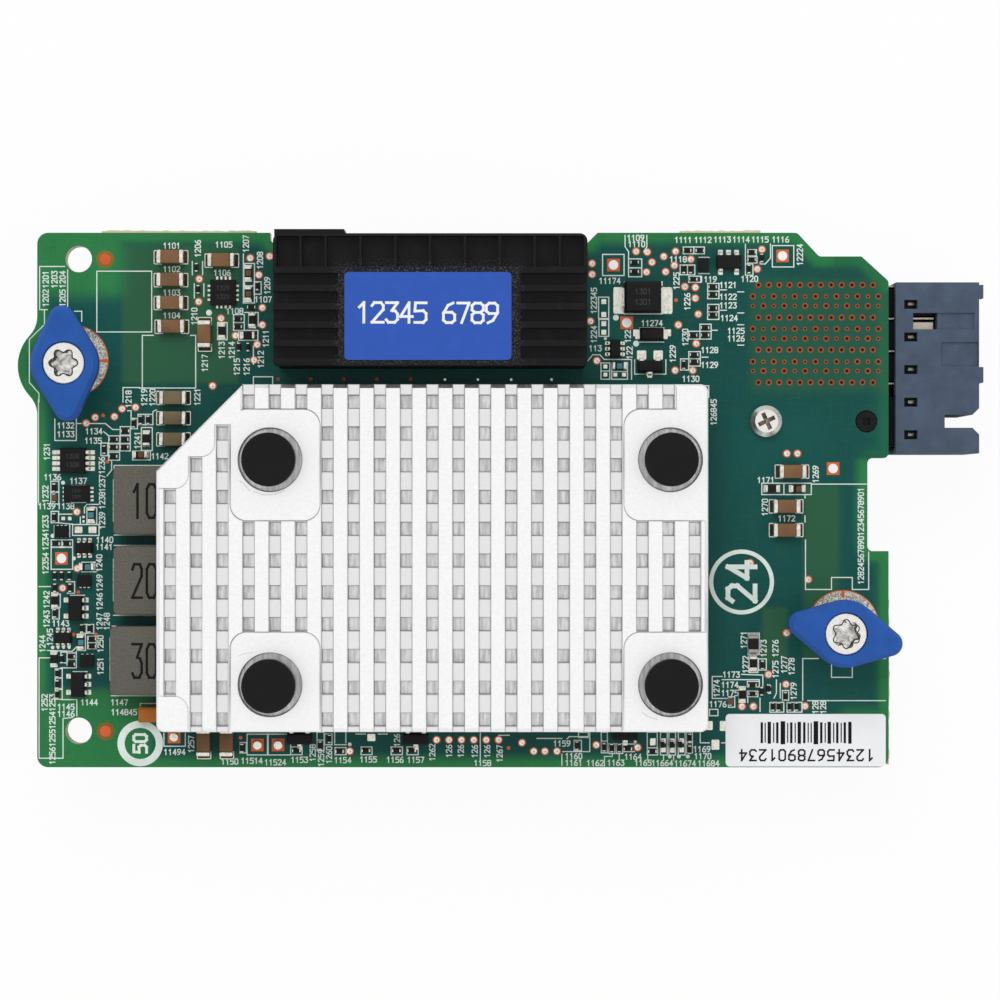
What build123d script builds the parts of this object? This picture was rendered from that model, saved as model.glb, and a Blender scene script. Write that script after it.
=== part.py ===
"""Mezzanine network card for a blade server, in millimetres.

The card lies with its component side up. Its origin is the middle of its bounding box, at the
level that the mezzanine connector, the two standoffs and the rear connector stand on.
+X runs along the card towards the rear connector, +Y towards the press cap, +Z upwards.
"""
from build123d import *
import os

# Board
BOARD_LENGTH = 100.5
BOARD_WIDTH = 63.1
BOARD_THICKNESS = 2.0
STACK_HEIGHT = 10.0
BOARD_CORNER_RADIUS = 1.3
BUMP_RADIUS = 5.25
BUMP_FILLET = 3.3
BUMP_REACH = 2.3
RECESS_DEPTH = 1.25
NOTCH_DEPTH = 2.5
NOTCH_WIDTH = 11.0
NOTCH_FROM_TOP = 26.6
SHOULDER_DROP = 2.8
SHOULDER_LENGTH = 8.2
SHOULDER_SLOPE = 2.6
CORNER_CUT_LENGTH = 3.2
CORNER_CUT_DROP = 2.9
TOOLING_HOLE_RADIUS = 1.56
TOOLING_HOLE_FROM_LEFT = 4.9
TOOLING_HOLE_FROM_TOP = 3.1
TOOLING_HOLE_FROM_BOTTOM = 4.3

# Rear connector
HOUSING_LENGTH = 9.85
HOUSING_WIDTH = 20.2
HOUSING_WALL = 1.3
HOUSING_GAP = 0.85
HOUSING_FROM_TOP = 5.85
HOUSING_TAB_REACH = 0.5
HOUSING_TABS = ((0.3, 1.6), (10.0, 1.85))
HOUSING_TAB_HEIGHT = 2.6
HOUSING_CAVITY_DEPTH = 4.9
HOUSING_RELIEF = 0.3
WINDOW_LENGTH = 1.57
WINDOW_WIDTH = 1.06
WINDOW_FROM_REAR = 1.0
WINDOW_COUNT = 5
COLUMN_PITCH = 3.85
WAFER_COUNT = 3
WAFER_REACH = 16.9
WAFER_GAP = 0.4
SHIELD_THICKNESS = 0.2
CONTACT_HOLE_WIDTH = 0.75
CONTACT_HOLE_HEIGHT = 0.95
CONTACT_HOLE_DEPTH = 4.0
CONTACT_ROWS = 6
CONTACT_ROW_PITCH = 1.5
CONTACT_PAIR_SPACING = 1.13
PEEP_SLOT_LENGTH = 2.9
PEEP_SLOT_WIDTH = 1.95
PEEP_SLOT_FROM_REAR = 2.05
GROUND_STRIP_WIDTH = 0.85
GROUND_STRIP_THICKNESS = 0.2
GUIDE_SLOT_WIDTH = 1.52
GUIDE_SLOT_DEPTH = 4.07
GUIDE_SLOT_CHAMFER = 0.8
GUIDE_BLOCK_WIDTH = 7.0
GUIDE_BLOCK_LIFT = 1.0
POST_RADIUS = 1.22
POST_CLEARANCE = 0.1
POST_FROM_RIGHT = 2.6
POST_DIMPLE = 0.8
REAR_SCREW_FROM_RIGHT = 14.5
REAR_SCREW_RADIUS = 1.25
REAR_SCREW_HEAD_RADIUS = 1.85
REAR_SCREW_HEAD_HEIGHT = 1.2
REAR_SCREW_BITE = 5.0

# Captive wing screws and their standoffs
SCREW_RADIUS = 1.5
SCREW_HEAD_RADIUS = 2.5
SCREW_HEAD_HEIGHT = 2.1
SCREW_HEAD_ABOVE_BOARD = 7.1
SCREW_FLOAT = 2.6
SCREW_GROOVE_RADIUS = 1.1
TIP_LIFT = 0.1
TORX_CORE_RADIUS = 1.25
TORX_LOBE_RADIUS = 0.42
TORX_DEPTH = 1.8
WING_RADIUS = 3.93
WING_TIP_RADIUS = 1.45
WING_LENGTH = 13.4
WING_THICKNESS = 2.0
WING_EDGE = 0.45
WING_SEAT = 0.06
STANDOFF_RADIUS = 3.44
STANDOFF_BORE_RADIUS = 2.6
STANDOFF_LIP = 1.0
STANDOFF_LIP_RADIUS = 1.58
STANDOFF_COLLAR_RADIUS = 4.1
STANDOFF_COLLAR_HEIGHT = 1.0
CLIP_RADIUS = 2.4
CLIP_THICKNESS = 0.6
CLIP_PLAY = 0.1
RUNNING_CLEARANCE = 0.05
LEFT_SCREW_FROM_LEFT = 4.15
LEFT_SCREW_FROM_TOP = 15.7
LEFT_WING_TURN = 93.5
RIGHT_SCREW_FROM_RIGHT = 5.83
RIGHT_SCREW_FROM_TOP = 47.05
RIGHT_WING_TURN = -12.5

# Heat sink
SINK_FROM_LEFT = 14.9
SINK_FROM_RIGHT = 21.8
SINK_FROM_BOTTOM = 4.72
SINK_CAP_GAP = 2.13
SINK_LIFT = 4.6
SINK_THICKNESS = 2.9
SINK_CORNER_CUT = 10.0
SINK_CORNER_RADIUS = 0.9
SINK_EDGE_CHAMFER = 0.45
VALLEY_PITCH = 3.033
VALLEY_WIDTH = 1.36
VALLEY_DEPTH = 0.45
VALLEY_FROM_LEFT = 1.59
PIT_PITCH = 3.678
PIT_WIDTH = 1.55
PIT_DEPTH = 1.2
PIT_FROM_BACK = 1.99
FLAT_DEPTH = 0.25
FLAT_RADIUS = 1.9
FLAT_REACH_LEFT = (4.6, 5.8)
FLAT_REACH_RIGHT = 5.4
FLAT_REACH_BACK_PINS = (7.05, 5.85)
FLAT_REACH_FRONT_PINS = 6.1
STEP_COUNT = 3
STEP_CLEARANCE = 0.2
CORNER_FLAT_RADIUS = 1.6
FOOT_FLAT_LENGTH = 3.7
FOOT_FLAT_WIDTH = 4.15
EAR_LENGTH = 3.7

# Push pins that hold the heat sink
PIN_FROM_SINK_LEFT = 13.15
PIN_FROM_SINK_RIGHT = 4.36
PIN_FROM_SINK_BACK = 8.72
PIN_FROM_SINK_FRONT = 5.47
PIN_HEAD_RADIUS = 3.1
PIN_HEAD_HEIGHT = 1.5
PIN_HEAD_ABOVE_FLAT = 2.95
PIN_HEAD_EDGE = 0.2
PIN_SHAFT_RADIUS = 1.4
PIN_HOLE_RADIUS = 1.6
PIN_BARB_RADIUS = 1.9
PIN_BARB_LENGTH = 2.3
PIN_WELL_RADIUS = 3.69
PIN_WELL_DEPTH = 1.0
PIN_SPLIT = 0.5
SPRING_WIRE_RADIUS = 0.3
SPRING_RADIUS = 2.3
SPRING_TURNS = 2

# Controller chip under the heat sink
CHIP_SIZE = 25.0
CHIP_SUBSTRATE_THICKNESS = 1.1
CHIP_LID_SIZE = 22.0
CHIP_LID_THICKNESS = 1.4
THERMAL_PAD_SIZE = 20.0
THERMAL_PAD_THICKNESS = 0.5

# Press cap over the mezzanine connector
CAP_LENGTH = 36.2
CAP_WIDTH = 15.2
CAP_HEIGHT = 9.0
CAP_FROM_LEFT = 28.5
CAP_FROM_TOP = 0.85
CAP_WALL = 1.4
CAP_ROOF = 2.2
CAP_BACK_RADIUS = 0.9
CAP_FRONT_RADIUS = 0.45
CAP_EDGE = 0.3
CELL_DEPTH = 1.4
CELL_WIDTH = 3.5
CELL_MARGIN = 0.35
CELL_RIB = 0.3
CELL_NARROW = 2.9
CELL_WIDE = 4.0
CELL_WIDE_COUNT = 6
GRIP_LEFT_LENGTH = 7.5
GRIP_RIGHT_LENGTH = 7.7
GRIP_DEPTH = 1.1
GRIP_PITCH = 2.11
GRIP_RIDGE = 0.75
GRIP_COUNT = 5
GRIP_FROM_BACK = 4.6
HOOK_LENGTH = 8.2
HOOK_THICKNESS = 0.8
HOOK_TOE = 0.7
HOOK_GAP = 0.08
LABEL_LENGTH = 19.2
LABEL_WIDTH = 10.1
LABEL_RADIUS = 0.5
LABEL_THICKNESS = 0.12
LABEL_FROM_CAP_LEFT = 8.25
LABEL_FROM_CAP_FRONT = 0.6

# Mezzanine connector under the board
MEZZANINE_LENGTH = 35.0
MEZZANINE_WIDTH = 12.6
MEZZANINE_FROM_TOP = 2.4
MEZZANINE_BLADE_COUNT = 9
MEZZANINE_BLADE_PITCH = 3.6
MEZZANINE_BLADE_THICKNESS = 0.8
MEZZANINE_SLOT_WIDTH = 1.9
MEZZANINE_SLOT_DEPTH = 5.0
MEZZANINE_END_WALL = 1.1

# Inductors and the larger passive parts
INDUCTOR_SIZE = 8.0
INDUCTOR_HEIGHT = 4.0
INDUCTOR_FOOT = 0.12
INDUCTOR_PITCH = 9.36
INDUCTOR_FROM_LEFT = 9.5
INDUCTOR_FROM_TOP = 27.6
INDUCTOR_SHIFT = (0.0, 0.0, -0.4)
INDUCTOR_EDGE = 0.35
TERMINAL_WIDTH = 5.1
TERMINAL_THICKNESS = 0.2
TERMINAL_REACH = 0.55
MLCC_SIZE = (3.2, 1.6, 1.4)
MLCC_END = 0.55
CHIP_0402 = (1.0, 0.5, 0.4)
CHIP_0603 = (1.6, 0.8, 0.5)
CHIP_0805 = (2.0, 1.25, 0.8)
LABEL_2_LENGTH = 18.9
LABEL_2_WIDTH = 6.2
LABEL_2_FROM_RIGHT = 0.35
LABEL_2_FROM_BOTTOM = 0.1

# Datum edges and levels
CONNECTOR_REACH = HOUSING_GAP + HOUSING_LENGTH + HOUSING_TAB_REACH
LEFT = -(BUMP_REACH + BOARD_LENGTH + CONNECTOR_REACH) / 2 + BUMP_REACH
RIGHT = LEFT + BOARD_LENGTH
TOP = BOARD_WIDTH / 2
BOTTOM = -BOARD_WIDTH / 2
UNDERSIDE = STACK_HEIGHT
BOARD_TOP = STACK_HEIGHT + BOARD_THICKNESS
HOUSING_HEIGHT = BOARD_TOP
CAP_LEFT = LEFT + CAP_FROM_LEFT
CAP_RIGHT = CAP_LEFT + CAP_LENGTH
CAP_BACK = TOP - CAP_FROM_TOP
CAP_FRONT = CAP_BACK - CAP_WIDTH
SINK_LEFT = LEFT + SINK_FROM_LEFT
SINK_RIGHT = RIGHT - SINK_FROM_RIGHT
SINK_BACK = CAP_FRONT - SINK_CAP_GAP
SINK_FRONT = BOTTOM + SINK_FROM_BOTTOM
SINK_UNDERSIDE = BOARD_TOP + SINK_LIFT
SINK_TOP = SINK_UNDERSIDE + SINK_THICKNESS
FLAT_LEVEL = SINK_TOP - FLAT_DEPTH
PIN_X = (SINK_LEFT + PIN_FROM_SINK_LEFT, SINK_RIGHT - PIN_FROM_SINK_RIGHT)
PIN_Y = (SINK_FRONT + PIN_FROM_SINK_FRONT, SINK_BACK - PIN_FROM_SINK_BACK)
CHIP_CENTRE = (sum(PIN_X) / 2, sum(PIN_Y) / 2)
VALLEY_ROOM = SINK_RIGHT - SINK_LEFT - VALLEY_FROM_LEFT - VALLEY_WIDTH / 2
VALLEY_COUNT = int(VALLEY_ROOM / VALLEY_PITCH) + 1
PIT_ROOM = SINK_BACK - SINK_FRONT - PIT_FROM_BACK - PIT_WIDTH / 2
PIT_COUNT = int(PIT_ROOM / PIT_PITCH) + 1
LEFT_SCREW = (LEFT + LEFT_SCREW_FROM_LEFT, TOP - LEFT_SCREW_FROM_TOP)
RIGHT_SCREW = (RIGHT - RIGHT_SCREW_FROM_RIGHT, TOP - RIGHT_SCREW_FROM_TOP)
SCREW_HEAD_TOP = BOARD_TOP + SCREW_HEAD_ABOVE_BOARD
WING_TOP = SCREW_HEAD_TOP - WING_SEAT
WING_UNDERSIDE = WING_TOP - WING_THICKNESS
STANDOFF_TOP = WING_UNDERSIDE - SCREW_FLOAT - CLIP_PLAY
CLIP_TOP = STANDOFF_TOP - STANDOFF_LIP - CLIP_PLAY
HOUSING_REAR = RIGHT + HOUSING_GAP
HOUSING_FRONT = HOUSING_REAR + HOUSING_LENGTH
HOUSING_BACK_Y = TOP - HOUSING_FROM_TOP
GUIDE_Y = HOUSING_BACK_Y - HOUSING_WIDTH + 3.79
WAFER_FIRST_Y = HOUSING_BACK_Y - 2.25

# Places of the board parts, as distances from the named edges of the board
MLCC_LEFT_TOP = [
    (15.8, 2.9), (15.8, 5.6), (15.8, 8.3), (15.9, 11.1),
    (16.1, 19.5), (16.1, 21.9), (16.1, 24.4), (21.8, 3.3),
]
MLCC_LEFT_TOP_UPRIGHT = [(19.8, 12.0)]
MLCC_LEFT_BOTTOM_UPRIGHT = [(19.7, 3.0), (22.4, 3.0)]
MLCC_RIGHT_TOP = [(11.4, 28.2), (12.1, 32.3), (12.1, 35.1)]
SMALL_LEFT_TOP_UPRIGHT = [
    (2.0, 30.1), (2.0, 31.3), (2.0, 33.6), (2.1, 40.5), (2.9, 40.5), (3.8, 40.5), (2.1, 41.9),
    (3.9, 41.9), (2.1, 44.9), (5.3, 46.7), (6.2, 46.7), (2.9, 50.3), (2.4, 52.0), (2.4, 53.3),
    (2.4, 54.5), (11.4, 22.5), (12.2, 22.1), (13.1, 22.1), (7.9, 25.6), (18.8, 4.1), (19.0, 6.7),
    (26.0, 6.3), (23.8, 13.5), (24.9, 13.5),
]
SMALL_LEFT_TOP_FLAT = [
    (2.2, 36.7), (3.5, 36.7), (6.5, 47.9), (6.5, 48.8), (4.0, 50.0), (4.0, 50.9), (10.4, 23.4),
    (9.0, 24.4), (10.3, 24.4), (9.0, 25.3), (10.3, 25.3), (9.0, 26.4), (25.3, 8.8), (23.7, 10.2),
    (23.7, 11.1),
]
SMALL_RIGHT_TOP_UPRIGHT = [
    (24.2, 4.3), (23.4, 4.3), (24.2, 15.6), (15.0, 3.0), (16.5, 4.3), (14.9, 51.0), (15.0, 54.1),
    (14.2, 53.8), (12.2, 54.7), (13.7, 55.9), (13.0, 55.9), (11.7, 55.9), (10.9, 55.9), (18.7, 55.3),
]
SMALL_RIGHT_TOP_FLAT = [
    (30.0, 3.5), (30.0, 4.6), (23.8, 2.1), (22.3, 2.1), (23.1, 5.5), (20.8, 6.4), (20.8, 7.3),
    (20.8, 8.9), (20.8, 9.7), (21.7, 11.2), (23.1, 12.1), (21.7, 12.1), (23.0, 14.4), (23.0, 15.2),
    (16.2, 2.3), (16.2, 3.2), (16.1, 53.4), (16.1, 54.4),
]
SMALL_LEFT_BOTTOM_FLAT = [
    (30.6, 2.0), (35.7, 1.9), (38.8, 2.0), (42.4, 2.0), (44.2, 2.0), (69.7, 2.2), (72.6, 1.9),
]
SMALL_LEFT_BOTTOM_UPRIGHT = [
    (24.2, 2.3), (33.4, 2.6), (34.5, 3.4), (63.7, 2.6), (66.9, 2.4), (67.8, 2.3), (68.7, 2.3),
    (73.8, 2.7), (74.9, 2.7), (75.9, 2.7), (77.0, 3.5), (77.0, 2.1),
]
MEDIUM_LEFT_TOP_UPRIGHT = [
    (6.4, 33.3), (2.1, 43.4), (5.1, 48.3), (2.0, 50.3), (12.9, 24.3), (24.9, 4.8), (24.9, 7.2),
    (25.4, 10.3), (21.8, 11.6),
]
MEDIUM_LEFT_TOP_FLAT = [(5.9, 39.4), (12.2, 26.2), (24.9, 12.1)]
MEDIUM_RIGHT_TOP_UPRIGHT = [(16.0, 50.8), (17.3, 54.5)]
MEDIUM_RIGHT_TOP_FLAT = [(31.8, 15.7), (13.8, 30.2), (10.8, 30.2)]
LARGE_CHIP = (16.0, 48.5)
ORANGE_CAPACITOR = (13.7, 6.3)
ORANGE_SIZE = (3.2, 1.8, 1.6)
MSOP_PLACE = (4.3, 26.9)
QFN_PLACE = (22.0, 7.1)
DFN_LARGE_PLACE = (4.7, 30.8)
DFN_PLACES_LEFT = [(2.9, 35.3), (5.6, 41.1), (5.9, 50.5)]
DFN_PLACE_RIGHT = (21.9, 3.8)
FIVE_LEAD_LEFT = [(4.6, 44.3), (4.9, 53.3)]
FIVE_LEAD_RIGHT = (18.9, 3.5)
SIX_LEAD_LEFT = [(5.6, 37.2), (3.1, 47.8)]
SIX_LEAD_RIGHT = (32.3, 13.7)
THREE_LEAD_RIGHT = (28.2, 15.8)
THREE_LEAD_BOTTOM = [(31.0, 3.4), (44.7, 3.4), (69.4, 3.9)]
POWER_DIODE = (29.1, 7.7)
POWER_DIODE_SIZE = (4.3, 3.65, 2.3)
SMALL_DIODE = (28.0, 12.0)
SMALL_DIODE_SIZE = (2.8, 1.5, 1.1)
UNDERSIDE_CAP_GRID = 5
UNDERSIDE_CAP_PITCH = 3.2


def left_top(place):
    """Point given by its distances from the board's left and top edges."""
    return (LEFT + place[0], TOP - place[1])


def left_bottom(place):
    return (LEFT + place[0], BOTTOM + place[1])


def right_top(place):
    return (RIGHT - place[0], TOP - place[1])


def block(x_range, y_range, z_range):
    """Box between two corners, given as (low, high) along each axis."""
    size = [high - low for low, high in (x_range, y_range, z_range)]
    low = (x_range[0], y_range[0], z_range[0])
    return Pos(*low) * Box(*size, align=(Align.MIN, Align.MIN, Align.MIN))


def centred_block(place, size, floor):
    """Box centred over a point of the board, standing on the level floor."""
    return Pos(place[0], place[1], floor) * Box(*size, align=(Align.CENTER, Align.CENTER, Align.MIN))


def disc(place, radius, floor, ceiling):
    """Upright cylinder between two levels."""
    height = ceiling - floor
    return Pos(place[0], place[1], floor) * Cylinder(
        radius, height, align=(Align.CENTER, Align.CENTER, Align.MIN)
    )


def raised(sketch, floor, ceiling):
    """Flat sketch made a solid between two levels."""
    return Pos(0, 0, floor) * extrude(sketch, amount=ceiling - floor)


def round_corner(sketch, corner, radius):
    """The sketch with its vertex nearest to corner rounded."""
    vertex = sketch.vertices().sort_by_distance((corner[0], corner[1], 0))[0]
    return fillet(vertex, radius)


def save(name, solids):
    """Write one sub-part: a solid, or a group of separate solids."""
    group = solids if isinstance(solids, list) else [solids]
    loose = [solid for shape in group for solid in shape.solids()]
    export_step(Compound(children=loose), f"parts/{name}.step")


def pin_places():
    """Centres of the four push pins."""
    return [(x, y) for y in reversed(PIN_Y) for x in PIN_X]


def board_outline():
    """Board edge with the left bump, the cap recess, the top right shoulder and the side notch."""
    recess_left = CAP_LEFT - 1.0
    recess_right = CAP_RIGHT + 0.2
    shoulder_left = RIGHT - SHOULDER_LENGTH - SHOULDER_SLOPE
    points = [
        (LEFT, BOTTOM),
        (LEFT, TOP),
        (recess_left, TOP),
        (recess_left, TOP - RECESS_DEPTH),
        (recess_right, TOP - RECESS_DEPTH),
        (recess_right + RECESS_DEPTH, TOP),
        (shoulder_left, TOP),
        (shoulder_left + SHOULDER_SLOPE, TOP - SHOULDER_DROP),
        (RIGHT - CORNER_CUT_LENGTH, TOP - SHOULDER_DROP),
        (RIGHT, TOP - SHOULDER_DROP - CORNER_CUT_DROP),
        (RIGHT, TOP - NOTCH_FROM_TOP),
        (RIGHT - NOTCH_DEPTH, TOP - NOTCH_FROM_TOP),
        (RIGHT - NOTCH_DEPTH, TOP - NOTCH_FROM_TOP - NOTCH_WIDTH),
        (RIGHT, TOP - NOTCH_FROM_TOP - NOTCH_WIDTH),
        (RIGHT, BOTTOM),
    ]
    outline = make_face(Polyline(*points, close=True))
    for corner in (points[0], points[1], points[14]):
        outline = round_corner(outline, corner, BOARD_CORNER_RADIUS)
    for corner in (points[3], points[6], points[7], points[9], points[10], points[11], points[12]):
        outline = round_corner(outline, corner, RECESS_DEPTH / 2)
    bump_centre = (LEFT - BUMP_REACH + BUMP_RADIUS, LEFT_SCREW[1])
    outline = outline + Pos(*bump_centre) * Circle(BUMP_RADIUS)
    edge_crossing = (BUMP_RADIUS**2 - (BUMP_RADIUS - BUMP_REACH) ** 2) ** 0.5
    for side in (1, -1):
        corner = (LEFT, bump_centre[1] + side * edge_crossing)
        outline = round_corner(outline, corner, BUMP_FILLET)
    return outline


def post_place():
    return (RIGHT - POST_FROM_RIGHT, GUIDE_Y)


def rear_screw_place():
    return (RIGHT - REAR_SCREW_FROM_RIGHT, GUIDE_Y)


def make_board():
    """Bare laminate with its tooling, standoff, push-pin, screw and post holes."""
    board = raised(board_outline(), UNDERSIDE, BOARD_TOP)
    holes = [
        (left_top((TOOLING_HOLE_FROM_LEFT, TOOLING_HOLE_FROM_TOP)), TOOLING_HOLE_RADIUS),
        (left_bottom((TOOLING_HOLE_FROM_LEFT, TOOLING_HOLE_FROM_BOTTOM)), TOOLING_HOLE_RADIUS),
        (LEFT_SCREW, STANDOFF_RADIUS + RUNNING_CLEARANCE),
        (RIGHT_SCREW, STANDOFF_RADIUS + RUNNING_CLEARANCE),
        (post_place(), POST_RADIUS + POST_CLEARANCE),
        (rear_screw_place(), REAR_SCREW_RADIUS + POST_CLEARANCE),
    ]
    holes += [(place, PIN_HOLE_RADIUS) for place in pin_places()]
    for place, radius in holes:
        board -= disc(place, radius, UNDERSIDE - 1, BOARD_TOP + 1)
    save("circuit_board", board)


def valley_x(index):
    """Middle of a valley, counted from the left end of the heat sink."""
    return SINK_LEFT + VALLEY_FROM_LEFT + index * VALLEY_PITCH


def pit_y(index):
    """Middle of a row of pits, counted from the back edge of the heat sink."""
    return SINK_BACK - PIT_FROM_BACK - index * PIT_PITCH


def sink_outline():
    """Plate outline with one corner cut off."""
    points = [
        (SINK_LEFT, SINK_FRONT),
        (SINK_LEFT, SINK_BACK - SINK_CORNER_CUT),
        (SINK_LEFT + SINK_CORNER_CUT, SINK_BACK),
        (SINK_RIGHT, SINK_BACK),
        (SINK_RIGHT, SINK_FRONT),
    ]
    outline = make_face(Polyline(*points, close=True))
    for corner in (points[0], points[3], points[4]):
        outline = round_corner(outline, corner, SINK_CORNER_RADIUS)
    return outline


def area(x_range, y_range, radius=0):
    """Flat area between two corners; a side that leaves the plate is given well beyond it."""
    size = (x_range[1] - x_range[0], y_range[1] - y_range[0])
    shape = RectangleRounded(*size, radius) if radius else Rectangle(*size)
    return Pos(sum(x_range) / 2, sum(y_range) / 2) * shape


def sink_flats():
    """Plain areas round the pins, in steps along the cut corner, and at the ear and foot corners."""
    beyond = 4 * FLAT_RADIUS
    left_x = (PIN_X[0] - FLAT_REACH_LEFT[0], PIN_X[0] + FLAT_REACH_LEFT[1])
    right_x = (PIN_X[1] - FLAT_REACH_RIGHT, SINK_RIGHT + beyond)
    back_y = (PIN_Y[1] - FLAT_REACH_BACK_PINS[0], PIN_Y[1] + FLAT_REACH_BACK_PINS[1])
    front_y = (SINK_FRONT - beyond, PIN_Y[0] + FLAT_REACH_FRONT_PINS)
    flats = Sketch()
    for x_range in (left_x, right_x):
        flats += area(x_range, back_y, FLAT_RADIUS)
        flats += area(x_range, front_y, FLAT_RADIUS)
    flats += area((SINK_RIGHT - EAR_LENGTH, SINK_RIGHT + beyond), (PIN_Y[1], SINK_BACK + beyond))
    for index in range(STEP_COUNT):
        high_x = valley_x(index + 1) - VALLEY_WIDTH / 2 - STEP_CLEARANCE
        low_y = pit_y(STEP_COUNT - index) + PIT_WIDTH / 2 + STEP_CLEARANCE
        flats += area((high_x - 2 * beyond, high_x), (low_y, low_y + 2 * beyond), CORNER_FLAT_RADIUS)
    foot_x = (SINK_LEFT - beyond, SINK_LEFT + FOOT_FLAT_LENGTH)
    foot_y = (SINK_FRONT - beyond, SINK_FRONT + FOOT_FLAT_WIDTH)
    flats += area(foot_x, foot_y, CORNER_FLAT_RADIUS)
    return flats


def make_heat_sink():
    """Cast aluminium plate: bars along Y with valleys between, pits in the valleys, flats at the pins."""
    sink = raised(sink_outline(), SINK_UNDERSIDE, SINK_TOP)
    sink = chamfer(sink.faces().sort_by(Axis.Z)[-1].edges(), SINK_EDGE_CHAMFER)
    flats = sink_flats()
    plate_y = (SINK_FRONT - 1, SINK_BACK + 1)
    valleys = Sketch()
    pits = Sketch()
    for column in range(VALLEY_COUNT):
        x = valley_x(column)
        x_range = (x - VALLEY_WIDTH / 2, x + VALLEY_WIDTH / 2)
        valleys += area(x_range, plate_y)
        pits += [
            area(x_range, (pit_y(row) - PIT_WIDTH / 2, pit_y(row) + PIT_WIDTH / 2)) for row in range(PIT_COUNT)
        ]
    valley_floor = SINK_TOP - VALLEY_DEPTH
    sink -= raised(flats, FLAT_LEVEL, SINK_TOP + 1)
    sink -= raised(valleys - flats, valley_floor, SINK_TOP + 1)
    open_pits = (pits - flats) & offset(sink_outline(), -SINK_EDGE_CHAMFER)
    sink -= raised(open_pits, valley_floor - PIT_DEPTH, SINK_TOP + 1)
    pedestal_size = THERMAL_PAD_SIZE + 1
    pedestal_floor = BOARD_TOP + CHIP_SUBSTRATE_THICKNESS + CHIP_LID_THICKNESS + THERMAL_PAD_THICKNESS
    sink += centred_block(
        CHIP_CENTRE, (pedestal_size, pedestal_size, SINK_UNDERSIDE - pedestal_floor), pedestal_floor
    )
    for place in pin_places():
        sink -= disc(place, PIN_WELL_RADIUS, FLAT_LEVEL - PIN_WELL_DEPTH, SINK_TOP + 1)
        sink -= disc(place, PIN_HOLE_RADIUS, SINK_UNDERSIDE - 1, SINK_TOP)
    save("heat_sink", sink)


def make_push_pins():
    """Moulded pins with a round head and a split barb, and the springs under their heads."""
    head_top = FLAT_LEVEL + PIN_HEAD_ABOVE_FLAT
    head_floor = head_top - PIN_HEAD_HEIGHT
    barb_tip = UNDERSIDE - PIN_BARB_LENGTH
    tip_radius = PIN_SHAFT_RADIUS * 0.7
    profile = Polyline(
        (0, head_top),
        (PIN_HEAD_RADIUS - PIN_HEAD_EDGE, head_top),
        (PIN_HEAD_RADIUS, head_top - PIN_HEAD_EDGE),
        (PIN_HEAD_RADIUS, head_floor),
        (PIN_SHAFT_RADIUS, head_floor),
        (PIN_SHAFT_RADIUS, UNDERSIDE),
        (PIN_BARB_RADIUS, UNDERSIDE - RUNNING_CLEARANCE),
        (tip_radius, barb_tip),
        (0, barb_tip),
        close=True,
    )
    pin = revolve(Plane.XZ * make_face(profile), Axis.Z)
    split_top = UNDERSIDE + BOARD_THICKNESS / 2
    pin -= block((-PIN_SPLIT / 2, PIN_SPLIT / 2), (-3, 3), (barb_tip - 1, split_top))
    save("push_pins", [Pos(x, y, 0) * pin for x, y in pin_places()])

    seat = FLAT_LEVEL - PIN_WELL_DEPTH
    height = head_floor - seat - 2 * SPRING_WIRE_RADIUS
    path = Helix(pitch=height / SPRING_TURNS, height=height, radius=SPRING_RADIUS)
    wire = Plane(origin=path @ 0, z_dir=path % 0) * RegularPolygon(SPRING_WIRE_RADIUS, 4)
    spring = sweep(wire, path=path, is_frenet=True)
    save("pin_springs", [Pos(x, y, seat + SPRING_WIRE_RADIUS) * spring for x, y in pin_places()])


def make_controller():
    """Ball-grid controller chip with its lid, and the pad between lid and heat sink."""
    lid_floor = BOARD_TOP + CHIP_SUBSTRATE_THICKNESS
    lid_top = lid_floor + CHIP_LID_THICKNESS
    substrate = centred_block(CHIP_CENTRE, (CHIP_SIZE, CHIP_SIZE, CHIP_SUBSTRATE_THICKNESS), BOARD_TOP)
    lid = centred_block(CHIP_CENTRE, (CHIP_LID_SIZE, CHIP_LID_SIZE, CHIP_LID_THICKNESS), lid_floor)
    lid = chamfer(lid.faces().sort_by(Axis.Z)[-1].edges(), 0.4)
    pad = centred_block(CHIP_CENTRE, (THERMAL_PAD_SIZE, THERMAL_PAD_SIZE, THERMAL_PAD_THICKNESS), lid_top)
    save("controller_substrate", substrate)
    save("controller_lid", lid)
    save("thermal_pad", pad)


def cap_cells(ceiling):
    """Row of recesses along the back edge of the cap, narrow at both ends."""
    widths = [CELL_NARROW] * 2 + [CELL_WIDE] * CELL_WIDE_COUNT + [CELL_NARROW] * 2
    x = (CAP_LEFT + CAP_RIGHT) / 2 - sum(widths) / 2
    high_y = CAP_BACK - CELL_MARGIN
    low_y = high_y - CELL_WIDTH
    cells = []
    for width in widths:
        cells.append(
            block(
                (x + CELL_RIB / 2, x + width - CELL_RIB / 2),
                (low_y, high_y),
                (ceiling - CELL_DEPTH, ceiling + 1),
            )
        )
        x += width
    return cells


def cap_grips(ceiling):
    """Finger grooves left and right of the label, open at the cap's ends."""
    grooves = []
    for index in range(GRIP_COUNT):
        high_y = CAP_BACK - GRIP_FROM_BACK - index * GRIP_PITCH
        y_range = (high_y - GRIP_PITCH + GRIP_RIDGE, high_y)
        z_range = (ceiling - GRIP_DEPTH, ceiling + 1)
        grooves.append(block((CAP_LEFT - 1, CAP_LEFT + GRIP_LEFT_LENGTH), y_range, z_range))
        grooves.append(block((CAP_RIGHT - GRIP_RIGHT_LENGTH, CAP_RIGHT + 1), y_range, z_range))
    return grooves


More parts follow.
